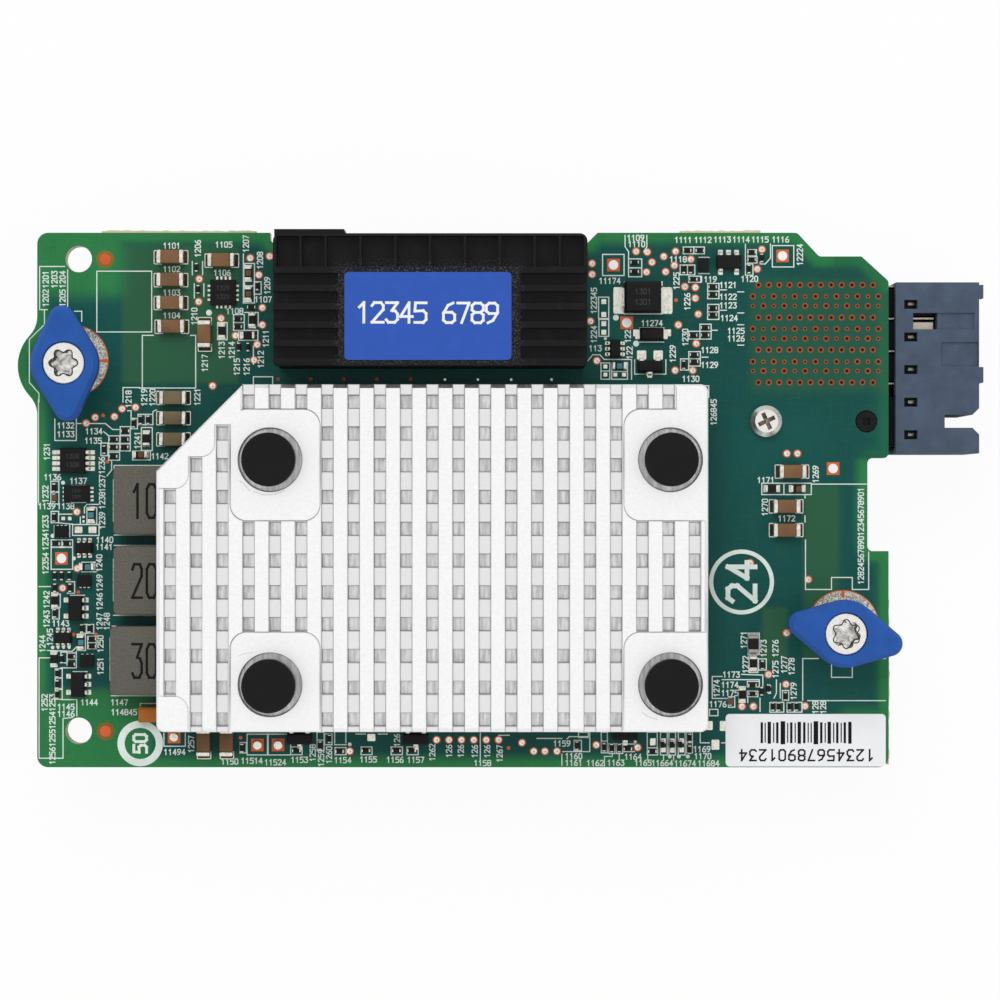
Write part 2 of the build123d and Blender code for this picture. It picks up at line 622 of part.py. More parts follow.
def make_press_cap():
    """Moulded cap to push on, hollow below, with a hook round the board's edge and a label on top."""
    ceiling = BOARD_TOP + CAP_HEIGHT
    middle = ((CAP_LEFT + CAP_RIGHT) / 2, (CAP_FRONT + CAP_BACK) / 2)
    outline = area((CAP_LEFT, CAP_RIGHT), (CAP_FRONT, CAP_BACK))
    for x in (CAP_LEFT, CAP_RIGHT):
        outline = round_corner(outline, (x, CAP_BACK), CAP_BACK_RADIUS)
        outline = round_corner(outline, (x, CAP_FRONT), CAP_FRONT_RADIUS)
    cap = raised(outline, BOARD_TOP, ceiling)
    cap = chamfer(cap.faces().sort_by(Axis.Z)[-1].edges(), CAP_EDGE)
    inner_size = (CAP_LENGTH - 2 * CAP_WALL, CAP_WIDTH - 2 * CAP_WALL, CAP_HEIGHT - CAP_ROOF)
    cap -= centred_block(middle, inner_size, BOARD_TOP)
    cap = cap - cap_cells(ceiling) - cap_grips(ceiling)
    hook_back = TOP - RECESS_DEPTH + HOOK_GAP + HOOK_THICKNESS
    hook_x = (CAP_LEFT + CAP_EDGE / 2, CAP_LEFT + HOOK_LENGTH)
    hook_floor = UNDERSIDE - 1.2
    cap += block(hook_x, (hook_back - HOOK_THICKNESS, hook_back), (hook_floor, ceiling - CAP_EDGE))
    toe_y = (hook_back - HOOK_THICKNESS - HOOK_TOE, hook_back - HOOK_THICKNESS)
    cap += block(hook_x, toe_y, (hook_floor, UNDERSIDE - HOOK_GAP))
    save("press_cap", cap)
    label_place = (
        CAP_LEFT + LABEL_FROM_CAP_LEFT + LABEL_LENGTH / 2,
        CAP_FRONT + LABEL_FROM_CAP_FRONT + LABEL_WIDTH / 2,
    )
    label = Pos(*label_place) * RectangleRounded(LABEL_LENGTH, LABEL_WIDTH, LABEL_RADIUS)
    save("cap_label", raised(label, ceiling, ceiling + LABEL_THICKNESS))


def make_mezzanine_connector():
    """Board-to-board connector with a row of contact blades in open slots that face down."""
    middle_x = (CAP_LEFT + CAP_RIGHT) / 2
    middle_y = TOP - MEZZANINE_FROM_TOP - MEZZANINE_WIDTH / 2
    outline = Pos(middle_x, middle_y) * RectangleRounded(MEZZANINE_LENGTH, MEZZANINE_WIDTH, 0.6)
    housing = raised(outline, 0, UNDERSIDE)
    housing = chamfer(housing.faces().sort_by(Axis.Z)[0].outer_wire().edges(), 0.3)
    slot_length = MEZZANINE_WIDTH - 2 * MEZZANINE_END_WALL
    blades = []
    for place in GridLocations(MEZZANINE_BLADE_PITCH, 1, MEZZANINE_BLADE_COUNT, 1):
        x = middle_x + place.position.X
        housing -= centred_block((x, middle_y), (MEZZANINE_SLOT_WIDTH, slot_length, MEZZANINE_SLOT_DEPTH), 0)
        blade_size = (MEZZANINE_BLADE_THICKNESS, slot_length - 1.0, MEZZANINE_SLOT_DEPTH - 0.6)
        blades.append(centred_block((x, middle_y), blade_size, 0.6))
    save("mezzanine_housing", housing)
    save("mezzanine_blades", blades)


def wafer_profile():
    """Side view of a wafer in X and Z: the body under the board and the nose in the housing."""
    nose_end = HOUSING_REAR + HOUSING_CAVITY_DEPTH - 0.2
    nose_low = HOUSING_WALL + 0.15
    nose_high = HOUSING_HEIGHT - HOUSING_WALL - 0.35
    body_end = HOUSING_REAR - 0.15
    points = [
        (RIGHT - WAFER_REACH, UNDERSIDE),
        (RIGHT - WAFER_REACH, 4.0),
        (RIGHT - WAFER_REACH + 3.2, 0.8),
        (body_end, 0.8),
        (body_end, nose_low),
        (nose_end, nose_low),
        (nose_end, nose_high),
        (body_end, nose_high),
        (body_end, nose_high - 0.4),
        (RIGHT + 0.1, nose_high - 0.4),
        (RIGHT + 0.1, UNDERSIDE),
    ]
    return make_face(Polyline(*points, close=True))


def wafer_slab(centre_y, thickness):
    profile = wafer_profile()
    return Pos(0, centre_y + thickness / 2, 0) * extrude(Plane.XZ * profile, amount=thickness)


def make_rear_connector():
    """Right-angle connector: housing, contact wafers, shields, ground strip and guide block."""
    housing = block(
        (HOUSING_REAR, HOUSING_FRONT), (HOUSING_BACK_Y - HOUSING_WIDTH, HOUSING_BACK_Y), (0, HOUSING_HEIGHT)
    )
    tab_z = (HOUSING_HEIGHT - HOUSING_TAB_HEIGHT, HOUSING_HEIGHT)
    tab_x = (HOUSING_FRONT - 0.1, HOUSING_FRONT + HOUSING_TAB_REACH)
    for tab_top, tab_width in HOUSING_TABS:
        tab_y = (HOUSING_BACK_Y - tab_top - tab_width, HOUSING_BACK_Y - tab_top)
        housing += block(tab_x, tab_y, tab_z)
    cavity_x = (HOUSING_REAR - 1, HOUSING_REAR + HOUSING_CAVITY_DEPTH)
    cavity_z = (HOUSING_WALL, HOUSING_HEIGHT - HOUSING_WALL)
    wafer_last_y = WAFER_FIRST_Y - (WAFER_COUNT - 1) * COLUMN_PITCH
    wafers_y = (wafer_last_y - COLUMN_PITCH / 2 - 0.25, WAFER_FIRST_Y + COLUMN_PITCH / 2 + 0.25)
    housing -= block(cavity_x, wafers_y, cavity_z)
    guide_y = (GUIDE_Y - GUIDE_BLOCK_WIDTH / 2 + 0.4, GUIDE_Y + GUIDE_BLOCK_WIDTH / 2 - 0.4)
    housing -= block((HOUSING_REAR - 1, HOUSING_REAR + 3.2), guide_y, cavity_z)

    first_window_y = HOUSING_BACK_Y - 2.6
    for index in range(WINDOW_COUNT):
        y = first_window_y - index * COLUMN_PITCH
        window_x = (HOUSING_REAR + WINDOW_FROM_REAR, HOUSING_REAR + WINDOW_FROM_REAR + WINDOW_LENGTH)
        window_y = (y - WINDOW_WIDTH / 2, y + WINDOW_WIDTH / 2)
        housing -= block(window_x, window_y, (HOUSING_HEIGHT - HOUSING_WALL - 0.5, HOUSING_HEIGHT + 1))
        housing -= block(window_x, window_y, (-1, HOUSING_WALL + 0.5))

    for column in range(WAFER_COUNT):
        for side in (1, -1):
            y = WAFER_FIRST_Y - column * COLUMN_PITCH + side * CONTACT_PAIR_SPACING / 2
            for row in range(CONTACT_ROWS):
                z = HOUSING_HEIGHT / 2 + (row - (CONTACT_ROWS - 1) / 2) * CONTACT_ROW_PITCH
                housing -= block(
                    (HOUSING_FRONT - CONTACT_HOLE_DEPTH, HOUSING_FRONT + 1),
                    (y - CONTACT_HOLE_WIDTH / 2, y + CONTACT_HOLE_WIDTH / 2),
                    (z - CONTACT_HOLE_HEIGHT / 2, z + CONTACT_HOLE_HEIGHT / 2),
                )

    peep_x = (HOUSING_REAR + PEEP_SLOT_FROM_REAR, HOUSING_REAR + PEEP_SLOT_FROM_REAR + PEEP_SLOT_LENGTH)
    peep_top = HOUSING_BACK_Y - 3.6
    peep_y = (peep_top - PEEP_SLOT_WIDTH, peep_top)
    roof_z = (HOUSING_HEIGHT - HOUSING_WALL - 0.5, HOUSING_HEIGHT + 1)
    housing -= block(peep_x, peep_y, roof_z)
    relief_z = (HOUSING_HEIGHT - HOUSING_RELIEF, HOUSING_HEIGHT + 1)
    housing -= block((peep_x[1], HOUSING_FRONT - 0.6), peep_y, relief_z)
    recess_y = (peep_y[0] - 4.35, peep_y[0] - 1.5)
    housing -= block((HOUSING_FRONT - 4.5, HOUSING_FRONT - 0.15), recess_y, relief_z)

    slot_half = GUIDE_SLOT_WIDTH / 2
    mouth_half = slot_half + GUIDE_SLOT_CHAMFER
    slot_end = HOUSING_FRONT - GUIDE_SLOT_DEPTH
    slot_shape = Polyline(
        (slot_end, GUIDE_Y - slot_half),
        (slot_end, GUIDE_Y + slot_half),
        (HOUSING_FRONT - GUIDE_SLOT_CHAMFER, GUIDE_Y + slot_half),
        (HOUSING_FRONT + 0.01, GUIDE_Y + mouth_half),
        (HOUSING_FRONT + 0.01, GUIDE_Y - mouth_half),
        (HOUSING_FRONT - GUIDE_SLOT_CHAMFER, GUIDE_Y - slot_half),
        close=True,
    )
    housing -= raised(make_face(slot_shape), -1, HOUSING_HEIGHT + 1)
    save("rear_housing", housing)

    wafer_width = COLUMN_PITCH - SHIELD_THICKNESS - WAFER_GAP
    wafers = [
        wafer_slab(WAFER_FIRST_Y - index * COLUMN_PITCH, wafer_width) for index in range(WAFER_COUNT)
    ]
    save("rear_wafers", wafers)
    shields = [
        wafer_slab(WAFER_FIRST_Y - (index - 0.5) * COLUMN_PITCH, SHIELD_THICKNESS)
        for index in range(WAFER_COUNT + 1)
    ]
    save("rear_shields", shields)
    strip_floor = HOUSING_HEIGHT - HOUSING_WALL - 0.35
    strip_y = (peep_y[0] + 0.05, peep_y[0] + 0.05 + GROUND_STRIP_WIDTH)
    strip_x = (peep_x[0] + 0.1, HOUSING_REAR + HOUSING_CAVITY_DEPTH - 0.3)
    save("ground_strip", block(strip_x, strip_y, (strip_floor, strip_floor + GROUND_STRIP_THICKNESS)))
    make_guide_block(guide_y)


def make_guide_block(pocket_y):
    """Black block beside the wafers, with the post in the board and the screw from above."""
    body_y = (GUIDE_Y - GUIDE_BLOCK_WIDTH / 2, GUIDE_Y + GUIDE_BLOCK_WIDTH / 2)
    guide = block((RIGHT - WAFER_REACH, RIGHT + 0.4), body_y, (GUIDE_BLOCK_LIFT, UNDERSIDE))
    tongue_y = (pocket_y[0] + 0.15, pocket_y[1] - 0.15)
    tongue_z = (HOUSING_WALL + 0.15, HOUSING_HEIGHT - HOUSING_WALL - 0.35)
    guide += block((RIGHT + 0.3, HOUSING_REAR + 3.0), tongue_y, tongue_z)
    guide += disc(post_place(), POST_RADIUS, UNDERSIDE, BOARD_TOP)
    guide -= centred_block(post_place(), (POST_DIMPLE, POST_DIMPLE, 1), BOARD_TOP - 0.4)
    hole_floor = UNDERSIDE - REAR_SCREW_BITE - 0.5
    guide -= disc(rear_screw_place(), REAR_SCREW_RADIUS + RUNNING_CLEARANCE, hole_floor, UNDERSIDE + 1)
    save("guide_block", guide)

    screw = disc((0, 0), REAR_SCREW_HEAD_RADIUS, BOARD_TOP, BOARD_TOP + REAR_SCREW_HEAD_HEIGHT)
    screw = chamfer(screw.edges().sort_by(Axis.Z)[-1], 0.5)
    screw += disc((0, 0), REAR_SCREW_RADIUS, UNDERSIDE - REAR_SCREW_BITE, BOARD_TOP)
    recess_floor = BOARD_TOP + REAR_SCREW_HEAD_HEIGHT - 0.9
    for size in ((2.1, 0.5, 2), (0.5, 2.1, 2)):
        screw -= centred_block((0, 0), size, recess_floor)
    save("rear_screw", Pos(*rear_screw_place(), 0) * Rot(0, 0, 25) * screw)


def make_standoff(name, place):
    """Turned tube through the board: collar below, inner lip at the top that keeps the screw."""
    tube = disc(place, STANDOFF_RADIUS, 0, STANDOFF_TOP)
    tube = chamfer(tube.edges().sort_by(Axis.Z)[-1], 0.3)
    tube += disc(place, STANDOFF_COLLAR_RADIUS, UNDERSIDE - STANDOFF_COLLAR_HEIGHT, UNDERSIDE)
    tube -= disc(place, STANDOFF_BORE_RADIUS, -1, STANDOFF_TOP - STANDOFF_LIP)
    tube -= disc(place, STANDOFF_LIP_RADIUS, 0, STANDOFF_TOP + 1)
    save(name, tube)


def make_wing_screw(name, place, turn):
    """Screw with a six-lobe head, its blue plastic wing and the clip that keeps it in the tube."""
    head_floor = SCREW_HEAD_TOP - SCREW_HEAD_HEIGHT
    screw = disc((0, 0), SCREW_HEAD_RADIUS, head_floor, SCREW_HEAD_TOP)
    screw = chamfer(screw.edges().sort_by(Axis.Z)[-1], 0.25)
    screw += disc((0, 0), SCREW_RADIUS, TIP_LIFT, head_floor)
    screw = chamfer(screw.edges().sort_by(Axis.Z)[0], 0.35)
    lobes = Circle(TORX_CORE_RADIUS)
    for location in PolarLocations(TORX_CORE_RADIUS, 6):
        lobes += location * Circle(TORX_LOBE_RADIUS)
    screw -= raised(lobes, SCREW_HEAD_TOP - TORX_DEPTH, SCREW_HEAD_TOP + 1)
    groove_z = (CLIP_TOP - CLIP_THICKNESS - RUNNING_CLEARANCE, CLIP_TOP + RUNNING_CLEARANCE)
    ring = disc((0, 0), SCREW_RADIUS + 1, *groove_z) - disc((0, 0), SCREW_GROOVE_RADIUS, *groove_z)
    screw -= ring
    save(f"{name}_screw", Pos(*place, 0) * Rot(0, 0, turn) * screw)

    tip_place = WING_LENGTH / 2 - WING_TIP_RADIUS
    circles = Sketch() + [Circle(WING_RADIUS)]
    circles += [Pos(tip_place, 0) * Circle(WING_TIP_RADIUS), Pos(-tip_place, 0) * Circle(WING_TIP_RADIUS)]
    wing = raised(make_hull(circles.edges()), WING_UNDERSIDE, WING_TOP)
    wing = chamfer(wing.faces().sort_by(Axis.Z)[-1].edges(), WING_EDGE)
    wing -= disc((0, 0), SCREW_HEAD_RADIUS + RUNNING_CLEARANCE / 5, head_floor, WING_TOP + 1)
    wing -= disc((0, 0), SCREW_RADIUS + RUNNING_CLEARANCE / 5, WING_UNDERSIDE - 1, head_floor)
    save(f"{name}_wing", Pos(*place, 0) * Rot(0, 0, turn) * wing)

    clip = disc((0, 0), CLIP_RADIUS, CLIP_TOP - CLIP_THICKNESS, CLIP_TOP)
    clip_hole = SCREW_GROOVE_RADIUS + RUNNING_CLEARANCE
    clip -= disc((0, 0), clip_hole, 0, SCREW_HEAD_TOP)
    clip -= block((-clip_hole * 0.9, clip_hole * 0.9), (-CLIP_RADIUS - 1, 0), (0, SCREW_HEAD_TOP))
    save(f"{name}_clip", Pos(*place, 0) * clip)


def make_inductors():
    """Three moulded power inductors, each with a bright terminal at both ends."""
    terminals = []
    for index, shift in enumerate(INDUCTOR_SHIFT):
        x = LEFT + INDUCTOR_FROM_LEFT + INDUCTOR_SIZE / 2 + shift
        y = TOP - INDUCTOR_FROM_TOP - INDUCTOR_SIZE / 2 - index * INDUCTOR_PITCH
        size = (INDUCTOR_SIZE, INDUCTOR_SIZE, INDUCTOR_HEIGHT - INDUCTOR_FOOT)
        body = centred_block((x, y), size, BOARD_TOP + INDUCTOR_FOOT)
        body = chamfer(body.edges().filter_by(Axis.Z), INDUCTOR_EDGE)
        save(f"inductor_{index + 1}", body)
        for side in (1, -1):
            reach = INDUCTOR_SIZE / 2 + TERMINAL_REACH
            inner = x + side * (INDUCTOR_SIZE / 2 - 2.0)
            outer = x + side * reach
            foot_x = (min(inner, outer), max(inner, outer))
            terminal_y = (y - TERMINAL_WIDTH / 2, y + TERMINAL_WIDTH / 2)
            terminal = block(foot_x, terminal_y, (BOARD_TOP, BOARD_TOP + INDUCTOR_FOOT))
            wall = x + side * (INDUCTOR_SIZE / 2 + TERMINAL_THICKNESS)
            wall_x = (min(wall, x + side * INDUCTOR_SIZE / 2), max(wall, x + side * INDUCTOR_SIZE / 2))
            terminal += block(wall_x, terminal_y, (BOARD_TOP, BOARD_TOP + 1.6))
            terminals.append(terminal)
    save("inductor_terminals", terminals)


def make_mlccs():
    """Ceramic capacitors of the 1206 size: brown bodies between tinned ends."""
    places = [(left_top(place), 0) for place in MLCC_LEFT_TOP]
    places += [(right_top(place), 0) for place in MLCC_RIGHT_TOP]
    places += [(left_top(place), 90) for place in MLCC_LEFT_TOP_UPRIGHT]
    places += [(left_bottom(place), 90) for place in MLCC_LEFT_BOTTOM_UPRIGHT]
    length, width, height = MLCC_SIZE
    bodies = []
    ends = []
    for place, turn in places:
        where = Pos(*place, BOARD_TOP) * Rot(0, 0, turn)
        bodies.append(where * centred_block((0, 0), (length - 2 * MLCC_END, width - 0.06, height - 0.06), 0))
        for side in (1, -1):
            centre = (side * (length - MLCC_END) / 2, 0)
            ends.append(where * centred_block(centre, (MLCC_END, width, height), 0))
    save("capacitor_bodies", bodies)
    save("capacitor_ends", ends)
    orange = centred_block(left_bottom(ORANGE_CAPACITOR), ORANGE_SIZE, BOARD_TOP)
    save("orange_capacitor", chamfer(orange.faces().sort_by(Axis.Z)[-1].edges(), 0.2))


def chips_at(places, size, turn):
    return [Pos(*place, BOARD_TOP) * Rot(0, 0, turn) * centred_block((0, 0), size, 0) for place in places]


def make_small_chips():
    """Chip resistors and small chip capacitors, by body size."""
    upright = [left_top(place) for place in SMALL_LEFT_TOP_UPRIGHT]
    upright += [right_top(place) for place in SMALL_RIGHT_TOP_UPRIGHT]
    upright += [left_bottom(place) for place in SMALL_LEFT_BOTTOM_UPRIGHT]
    flat = [left_top(place) for place in SMALL_LEFT_TOP_FLAT]
    flat += [right_top(place) for place in SMALL_RIGHT_TOP_FLAT]
    flat += [left_bottom(place) for place in SMALL_LEFT_BOTTOM_FLAT]
    save("chips_0402", chips_at(upright, CHIP_0402, 90) + chips_at(flat, CHIP_0402, 0))

    upright = [left_top(place) for place in MEDIUM_LEFT_TOP_UPRIGHT]
    upright += [right_top(place) for place in MEDIUM_RIGHT_TOP_UPRIGHT]
    flat = [left_top(place) for place in MEDIUM_LEFT_TOP_FLAT]
    flat += [right_top(place) for place in MEDIUM_RIGHT_TOP_FLAT]
    save("chips_0603", chips_at(upright, CHIP_0603, 90) + chips_at(flat, CHIP_0603, 0))
    save("chip_0805", chips_at([right_top(LARGE_CHIP)], CHIP_0805, 90))

    grid = GridLocations(UNDERSIDE_CAP_PITCH, UNDERSIDE_CAP_PITCH, UNDERSIDE_CAP_GRID, UNDERSIDE_CAP_GRID)
    under = []
    for location in grid:
        place = (CHIP_CENTRE[0] + location.position.X, CHIP_CENTRE[1] + location.position.Y)
        under.append(centred_block(place, CHIP_0603, UNDERSIDE - CHIP_0603[2]))
    save("underside_chips", under)


def lead(body_half, reach, width):
    """Gull-wing lead along +X: it leaves the body at mid height and ends in a flat foot."""
    thickness = 0.13
    shoulder = 0.55
    knee = body_half + 0.4 * (reach - body_half)
    points = [
        (body_half, shoulder),
        (body_half, shoulder + thickness),
        (knee, shoulder + thickness),
        (knee + thickness + 0.06, thickness),
        (reach, thickness),
        (reach, 0),
        (knee + 0.06, 0),
        (knee - thickness, shoulder),
    ]
    profile = make_face(Polyline(*points, close=True))
    return Pos(0, width / 2, 0) * extrude(Plane.XZ * profile, amount=width)


def leaded_package(place, turn, size, reach, width, rows):
    """Body and leads; rows holds the lead offsets on the +X side and on the -X side."""
    where = Pos(*place, BOARD_TOP) * Rot(0, 0, turn)
    body = centred_block((0, 0), (size[0], size[1], size[2] - 0.1), 0.1)
    body = chamfer(body.faces().sort_by(Axis.Z)[-1].edges(), 0.12)
    arm = lead(size[0] / 2, reach, width)
    leads = [where * Pos(0, offset, 0) * arm for offset in rows[0]]
    leads += [where * Rot(0, 0, 180) * Pos(0, offset, 0) * arm for offset in rows[1]]
    return where * body, leads


def make_packages():
    """Leaded and leadless integrated circuits, transistors and diodes."""
    three = (0.95, 0, -0.95)
    two = (0.95, -0.95)
    fine_three = (0.65, 0, -0.65)
    four = (0.975, 0.325, -0.325, -0.975)
    sot_body = (1.6, 2.9, 1.1)
    sot_reach = 1.4
    small_body = (1.25, 2.0, 0.95)
    small_reach = 1.08
    packages = [leaded_package(left_top(MSOP_PLACE), 0, (3.0, 3.0, 1.0), 2.45, 0.33, (four, four))]
    for place in FIVE_LEAD_LEFT:
        packages.append(leaded_package(left_top(place), 0, sot_body, sot_reach, 0.42, (three, two)))
    packages.append(leaded_package(right_top(FIVE_LEAD_RIGHT), 90, sot_body, sot_reach, 0.42, (three, two)))
    for place in SIX_LEAD_LEFT:
        packages.append(
            leaded_package(left_top(place), 90, small_body, small_reach, 0.26, (fine_three, fine_three))
        )
    packages.append(
        leaded_package(right_top(SIX_LEAD_RIGHT), 0, small_body, small_reach, 0.26, (fine_three, fine_three))
    )
    transistor = ((1.3, 2.9, 1.0), 1.25, 0.42)
    packages.append(leaded_package(right_top(THREE_LEAD_RIGHT), 90, *transistor, (two, (0,))))
    for place in THREE_LEAD_BOTTOM:
        packages.append(leaded_package(left_bottom(place), 90, *transistor, (two, (0,))))
    save("leaded_bodies", [body for body, leads in packages])
    save("package_leads", [one for body, leads in packages for one in leads])

    flat_parts = [centred_block(left_top(QFN_PLACE), (3.0, 3.0, 0.85), BOARD_TOP)]
    flat_parts.append(centred_block(left_top(DFN_LARGE_PLACE), (2.95, 2.0, 0.75), BOARD_TOP))
    flat_parts += [centred_block(left_top(place), (1.6, 1.4, 0.6), BOARD_TOP) for place in DFN_PLACES_LEFT]
    flat_parts.append(centred_block(right_top(DFN_PLACE_RIGHT), (1.25, 1.6, 0.6), BOARD_TOP))
    save("leadless_packages", flat_parts)
    make_diode("power_diode", right_top(POWER_DIODE), POWER_DIODE_SIZE, 2.1, 0.55)
    make_diode("small_diode", right_top(SMALL_DIODE), SMALL_DIODE_SIZE, 1.0, 0.45)


def make_diode(name, place, size, lead_width, lead_reach):
    """Moulded diode with a flat lead folded under each end."""
    length, width, height = size
    where = Pos(*place, BOARD_TOP)
    foot = 0.15
    body = centred_block((0, 0), (length, width, height - foot), foot)
    body = chamfer(body.faces().sort_by(Axis.Z)[-1].edges(), 0.25)
    save(name, where * body)
    leads = []
    for side in (1, -1):
        low, high = sorted((side * (length / 2 - 0.8), side * (length / 2 + lead_reach)))
        strap = block((low, high), (-lead_width / 2, lead_width / 2), (0, foot))
        low, high = sorted((side * length / 2, side * (length / 2 + 0.2)))
        strap += block((low, high), (-lead_width / 2, lead_width / 2), (0, height * 0.5))
        leads.append(where * strap)
    save(f"{name}_leads", leads)


def make_serial_label():
    """White paper label on the board's lower right corner."""
    x = RIGHT - LABEL_2_FROM_RIGHT - LABEL_2_LENGTH / 2
    y = BOTTOM + LABEL_2_FROM_BOTTOM + LABEL_2_WIDTH / 2
    outline = Pos(x, y) * RectangleRounded(LABEL_2_LENGTH, LABEL_2_WIDTH, LABEL_RADIUS)
    save("serial_label", raised(outline, BOARD_TOP, BOARD_TOP + LABEL_THICKNESS))


os.makedirs("parts", exist_ok=True)
make_board()
make_heat_sink()
make_push_pins()
make_controller()
make_press_cap()
make_mezzanine_connector()
make_rear_connector()
make_standoff("left_standoff", LEFT_SCREW)
make_standoff("right_standoff", RIGHT_SCREW)
make_wing_screw("left", LEFT_SCREW, LEFT_WING_TURN)
make_wing_screw("right", RIGHT_SCREW, RIGHT_WING_TURN)
make_inductors()
make_mlccs()
make_small_chips()
make_packages()
make_serial_label()
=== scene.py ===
"""Dresses the mezzanine network card with its finishes and the fine pieces on its board.

Run as a script it builds everything once; registered, it gives the same steps as buttons in the
sidebar. All lengths are metres. Places on the board are written in pixels of the reference
photograph, which looks straight down, and on_board turns them into metres.
"""

import math

import bmesh
import bpy
import mathutils
from mathutils import Matrix, Vector


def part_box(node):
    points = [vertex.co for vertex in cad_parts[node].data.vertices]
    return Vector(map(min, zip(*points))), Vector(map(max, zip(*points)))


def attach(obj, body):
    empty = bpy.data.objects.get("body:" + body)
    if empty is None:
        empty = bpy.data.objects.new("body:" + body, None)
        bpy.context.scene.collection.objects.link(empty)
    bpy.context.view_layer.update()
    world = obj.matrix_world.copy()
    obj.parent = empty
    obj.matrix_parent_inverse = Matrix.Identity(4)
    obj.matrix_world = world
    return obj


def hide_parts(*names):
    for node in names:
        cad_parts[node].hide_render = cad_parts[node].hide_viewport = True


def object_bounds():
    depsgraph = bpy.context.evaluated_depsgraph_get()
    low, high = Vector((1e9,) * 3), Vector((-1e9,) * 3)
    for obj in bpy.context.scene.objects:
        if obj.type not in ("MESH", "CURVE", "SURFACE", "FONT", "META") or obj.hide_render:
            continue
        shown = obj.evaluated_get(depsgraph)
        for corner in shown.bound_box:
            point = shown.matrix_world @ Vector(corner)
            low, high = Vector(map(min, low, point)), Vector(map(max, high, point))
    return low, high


bl_info = {
    "name": "Mezzanine network card",
    "version": (1, 0, 0),
    "blender": (4, 5, 0),
    "location": "View3D > Sidebar > Card",
    "description": "Finishes and fine board pieces of a mezzanine network card",
    "category": "Object",
}

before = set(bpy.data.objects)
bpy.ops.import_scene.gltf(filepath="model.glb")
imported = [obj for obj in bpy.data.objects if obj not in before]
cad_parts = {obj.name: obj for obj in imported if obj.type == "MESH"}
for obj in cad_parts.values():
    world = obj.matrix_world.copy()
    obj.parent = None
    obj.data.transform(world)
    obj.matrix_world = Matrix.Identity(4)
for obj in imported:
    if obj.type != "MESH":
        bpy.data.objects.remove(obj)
cad_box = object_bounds()

MM = 0.001
PHOTO_CENTRE = 500
PHOTO_SCALE = 0.118 * MM
CAMERA_HEIGHT = 342 * MM
LENS = 104.3
SENSOR = 36.0
WORLD_STRENGTH = 0.56
FLOOR_GLOW_SHARE = 0.94
PLASTIC_SPECULAR = 0.14
SCRATCH_SHARE = 0.35
COLOUR_MIX = {"output": 2, "data_type": "RGBA"}
BOARD_LOW, BOARD_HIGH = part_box("circuit_board")
BOARD_TOP = BOARD_HIGH.z
BOARD_UNDERSIDE = BOARD_LOW.z


def linear(code):
    """Scene-linear colour of an sRGB hex code."""
    values = [int(code[start:start + 2], 16) / 255 for start in (1, 3, 5)]
    return tuple(v / 12.92 if v <= 0.04045 else ((v + 0.055) / 1.055) ** 2.4 for v in values)


def on_board(x, y, height=0.0):
    """Place in metres of a photograph pixel, for a point so high above the board's top."""
    shrink = PHOTO_SCALE * (1 - height / CAMERA_HEIGHT)
    return ((x - PHOTO_CENTRE) * shrink, (PHOTO_CENTRE - y) * shrink)


def length(name, description, value):
    return bpy.props.FloatProperty(
        name=name, description=description, default=value, min=0, precision=5, unit="LENGTH"
    )


def tint(name, description, code):
    return bpy.props.FloatVectorProperty(
        name=name, description=description, default=linear(code), size=3, min=0, max=1, subtype="COLOR"
    )


class CardSizes(bpy.types.PropertyGroup):
    """Sizes of the printed and plated details on the board."""

    ink_height: length("Ink height", "Thickness of the white ink above the mask", 0.025 * MM)
    line_width: length("Line width", "Width of a printed line", 0.12 * MM)
    digit_height: length("Digit height", "Height of the printed numbers", 0.62 * MM)
    digit_line: length("Digit line", "Stroke width of the printed numbers", 0.12 * MM)
    via_radius: length("Via radius", "Outer radius of the copper ring of a via", 0.475 * MM)
    via_fill: length("Via fill", "Radius of the bright middle of a via", 0.34 * MM)
    pad_height: length("Pad height", "Thickness of a tinned pad", 0.03 * MM)
    copper_height: length("Copper height", "Thickness of bare copper above the mask", 0.02 * MM)
    edge_round: length("Edge round", "Radius of a moulded edge", 0.12 * MM)
    bare_edge: length("Bare edge", "Strip along the board's edge that has no copper plane", 0.6 * MM)
    bare_fade: length("Bare fade", "Width over which the plane's dark tint comes in", 1.2 * MM)


class CardColours(bpy.types.PropertyGroup):
    """Colours of the finishes."""

    mask_light: tint("Mask over laminate", "Solder mask with no copper below it", "#2c7a45")
    mask_dark: tint("Mask over copper", "Solder mask over a copper plane", "#0f4c47")
    mask_thin: tint("Mask over one plane", "Solder mask where an inner plane stops", "#2a5a40")
    laminate: tint("Laminate", "Cut edge of the board", "#d6cfae")
    copper: tint("Copper", "Bare copper under clear finish", "#d9673c")
    halo: tint("Dot halo", "Clear laminate round the alignment dots", "#8a6a2c")
    ink: tint("Ink", "White printed ink", "#e4efe8")
    aluminium: tint("Aluminium", "Bare heat sink", "#fbfbfc")
    steel: tint("Plated steel", "Nickel plated steel", "#eeede8")
    tin: tint("Tin", "Matt tin", "#eeebe0")
    gold: tint("Gold", "Thin gold on contacts", "#d6b46a")
    nylon: tint("Black nylon", "Push pins and guide block", "#131315")
    cap: tint("Cap black", "Grained cap moulding", "#121214")
    slate: tint("Slate", "Rear connector housing", "#4e5b6e")
    wing: tint("Wing blue", "Moulded wings", "#2b59a8")
    label: tint("Label blue", "Printed label on the cap", "#345ab6")
    paper: tint("Label white", "Serial label", "#f2f4f6")
    epoxy: tint("Epoxy", "Moulded packages", "#171718")
    ceramic: tint("Ceramic", "Chip capacitor body", "#805f42")
    glaze: tint("Glaze", "Chip resistor body", "#1c1917")
    composite: tint("Composite", "Pressed iron of the inductors", "#68665d")
    ochre: tint("Ochre", "Case of the single ochre capacitor", "#b5702c")
    silicone: tint("Silicone", "Soft pad under the heat sink", "#9aa0a8")


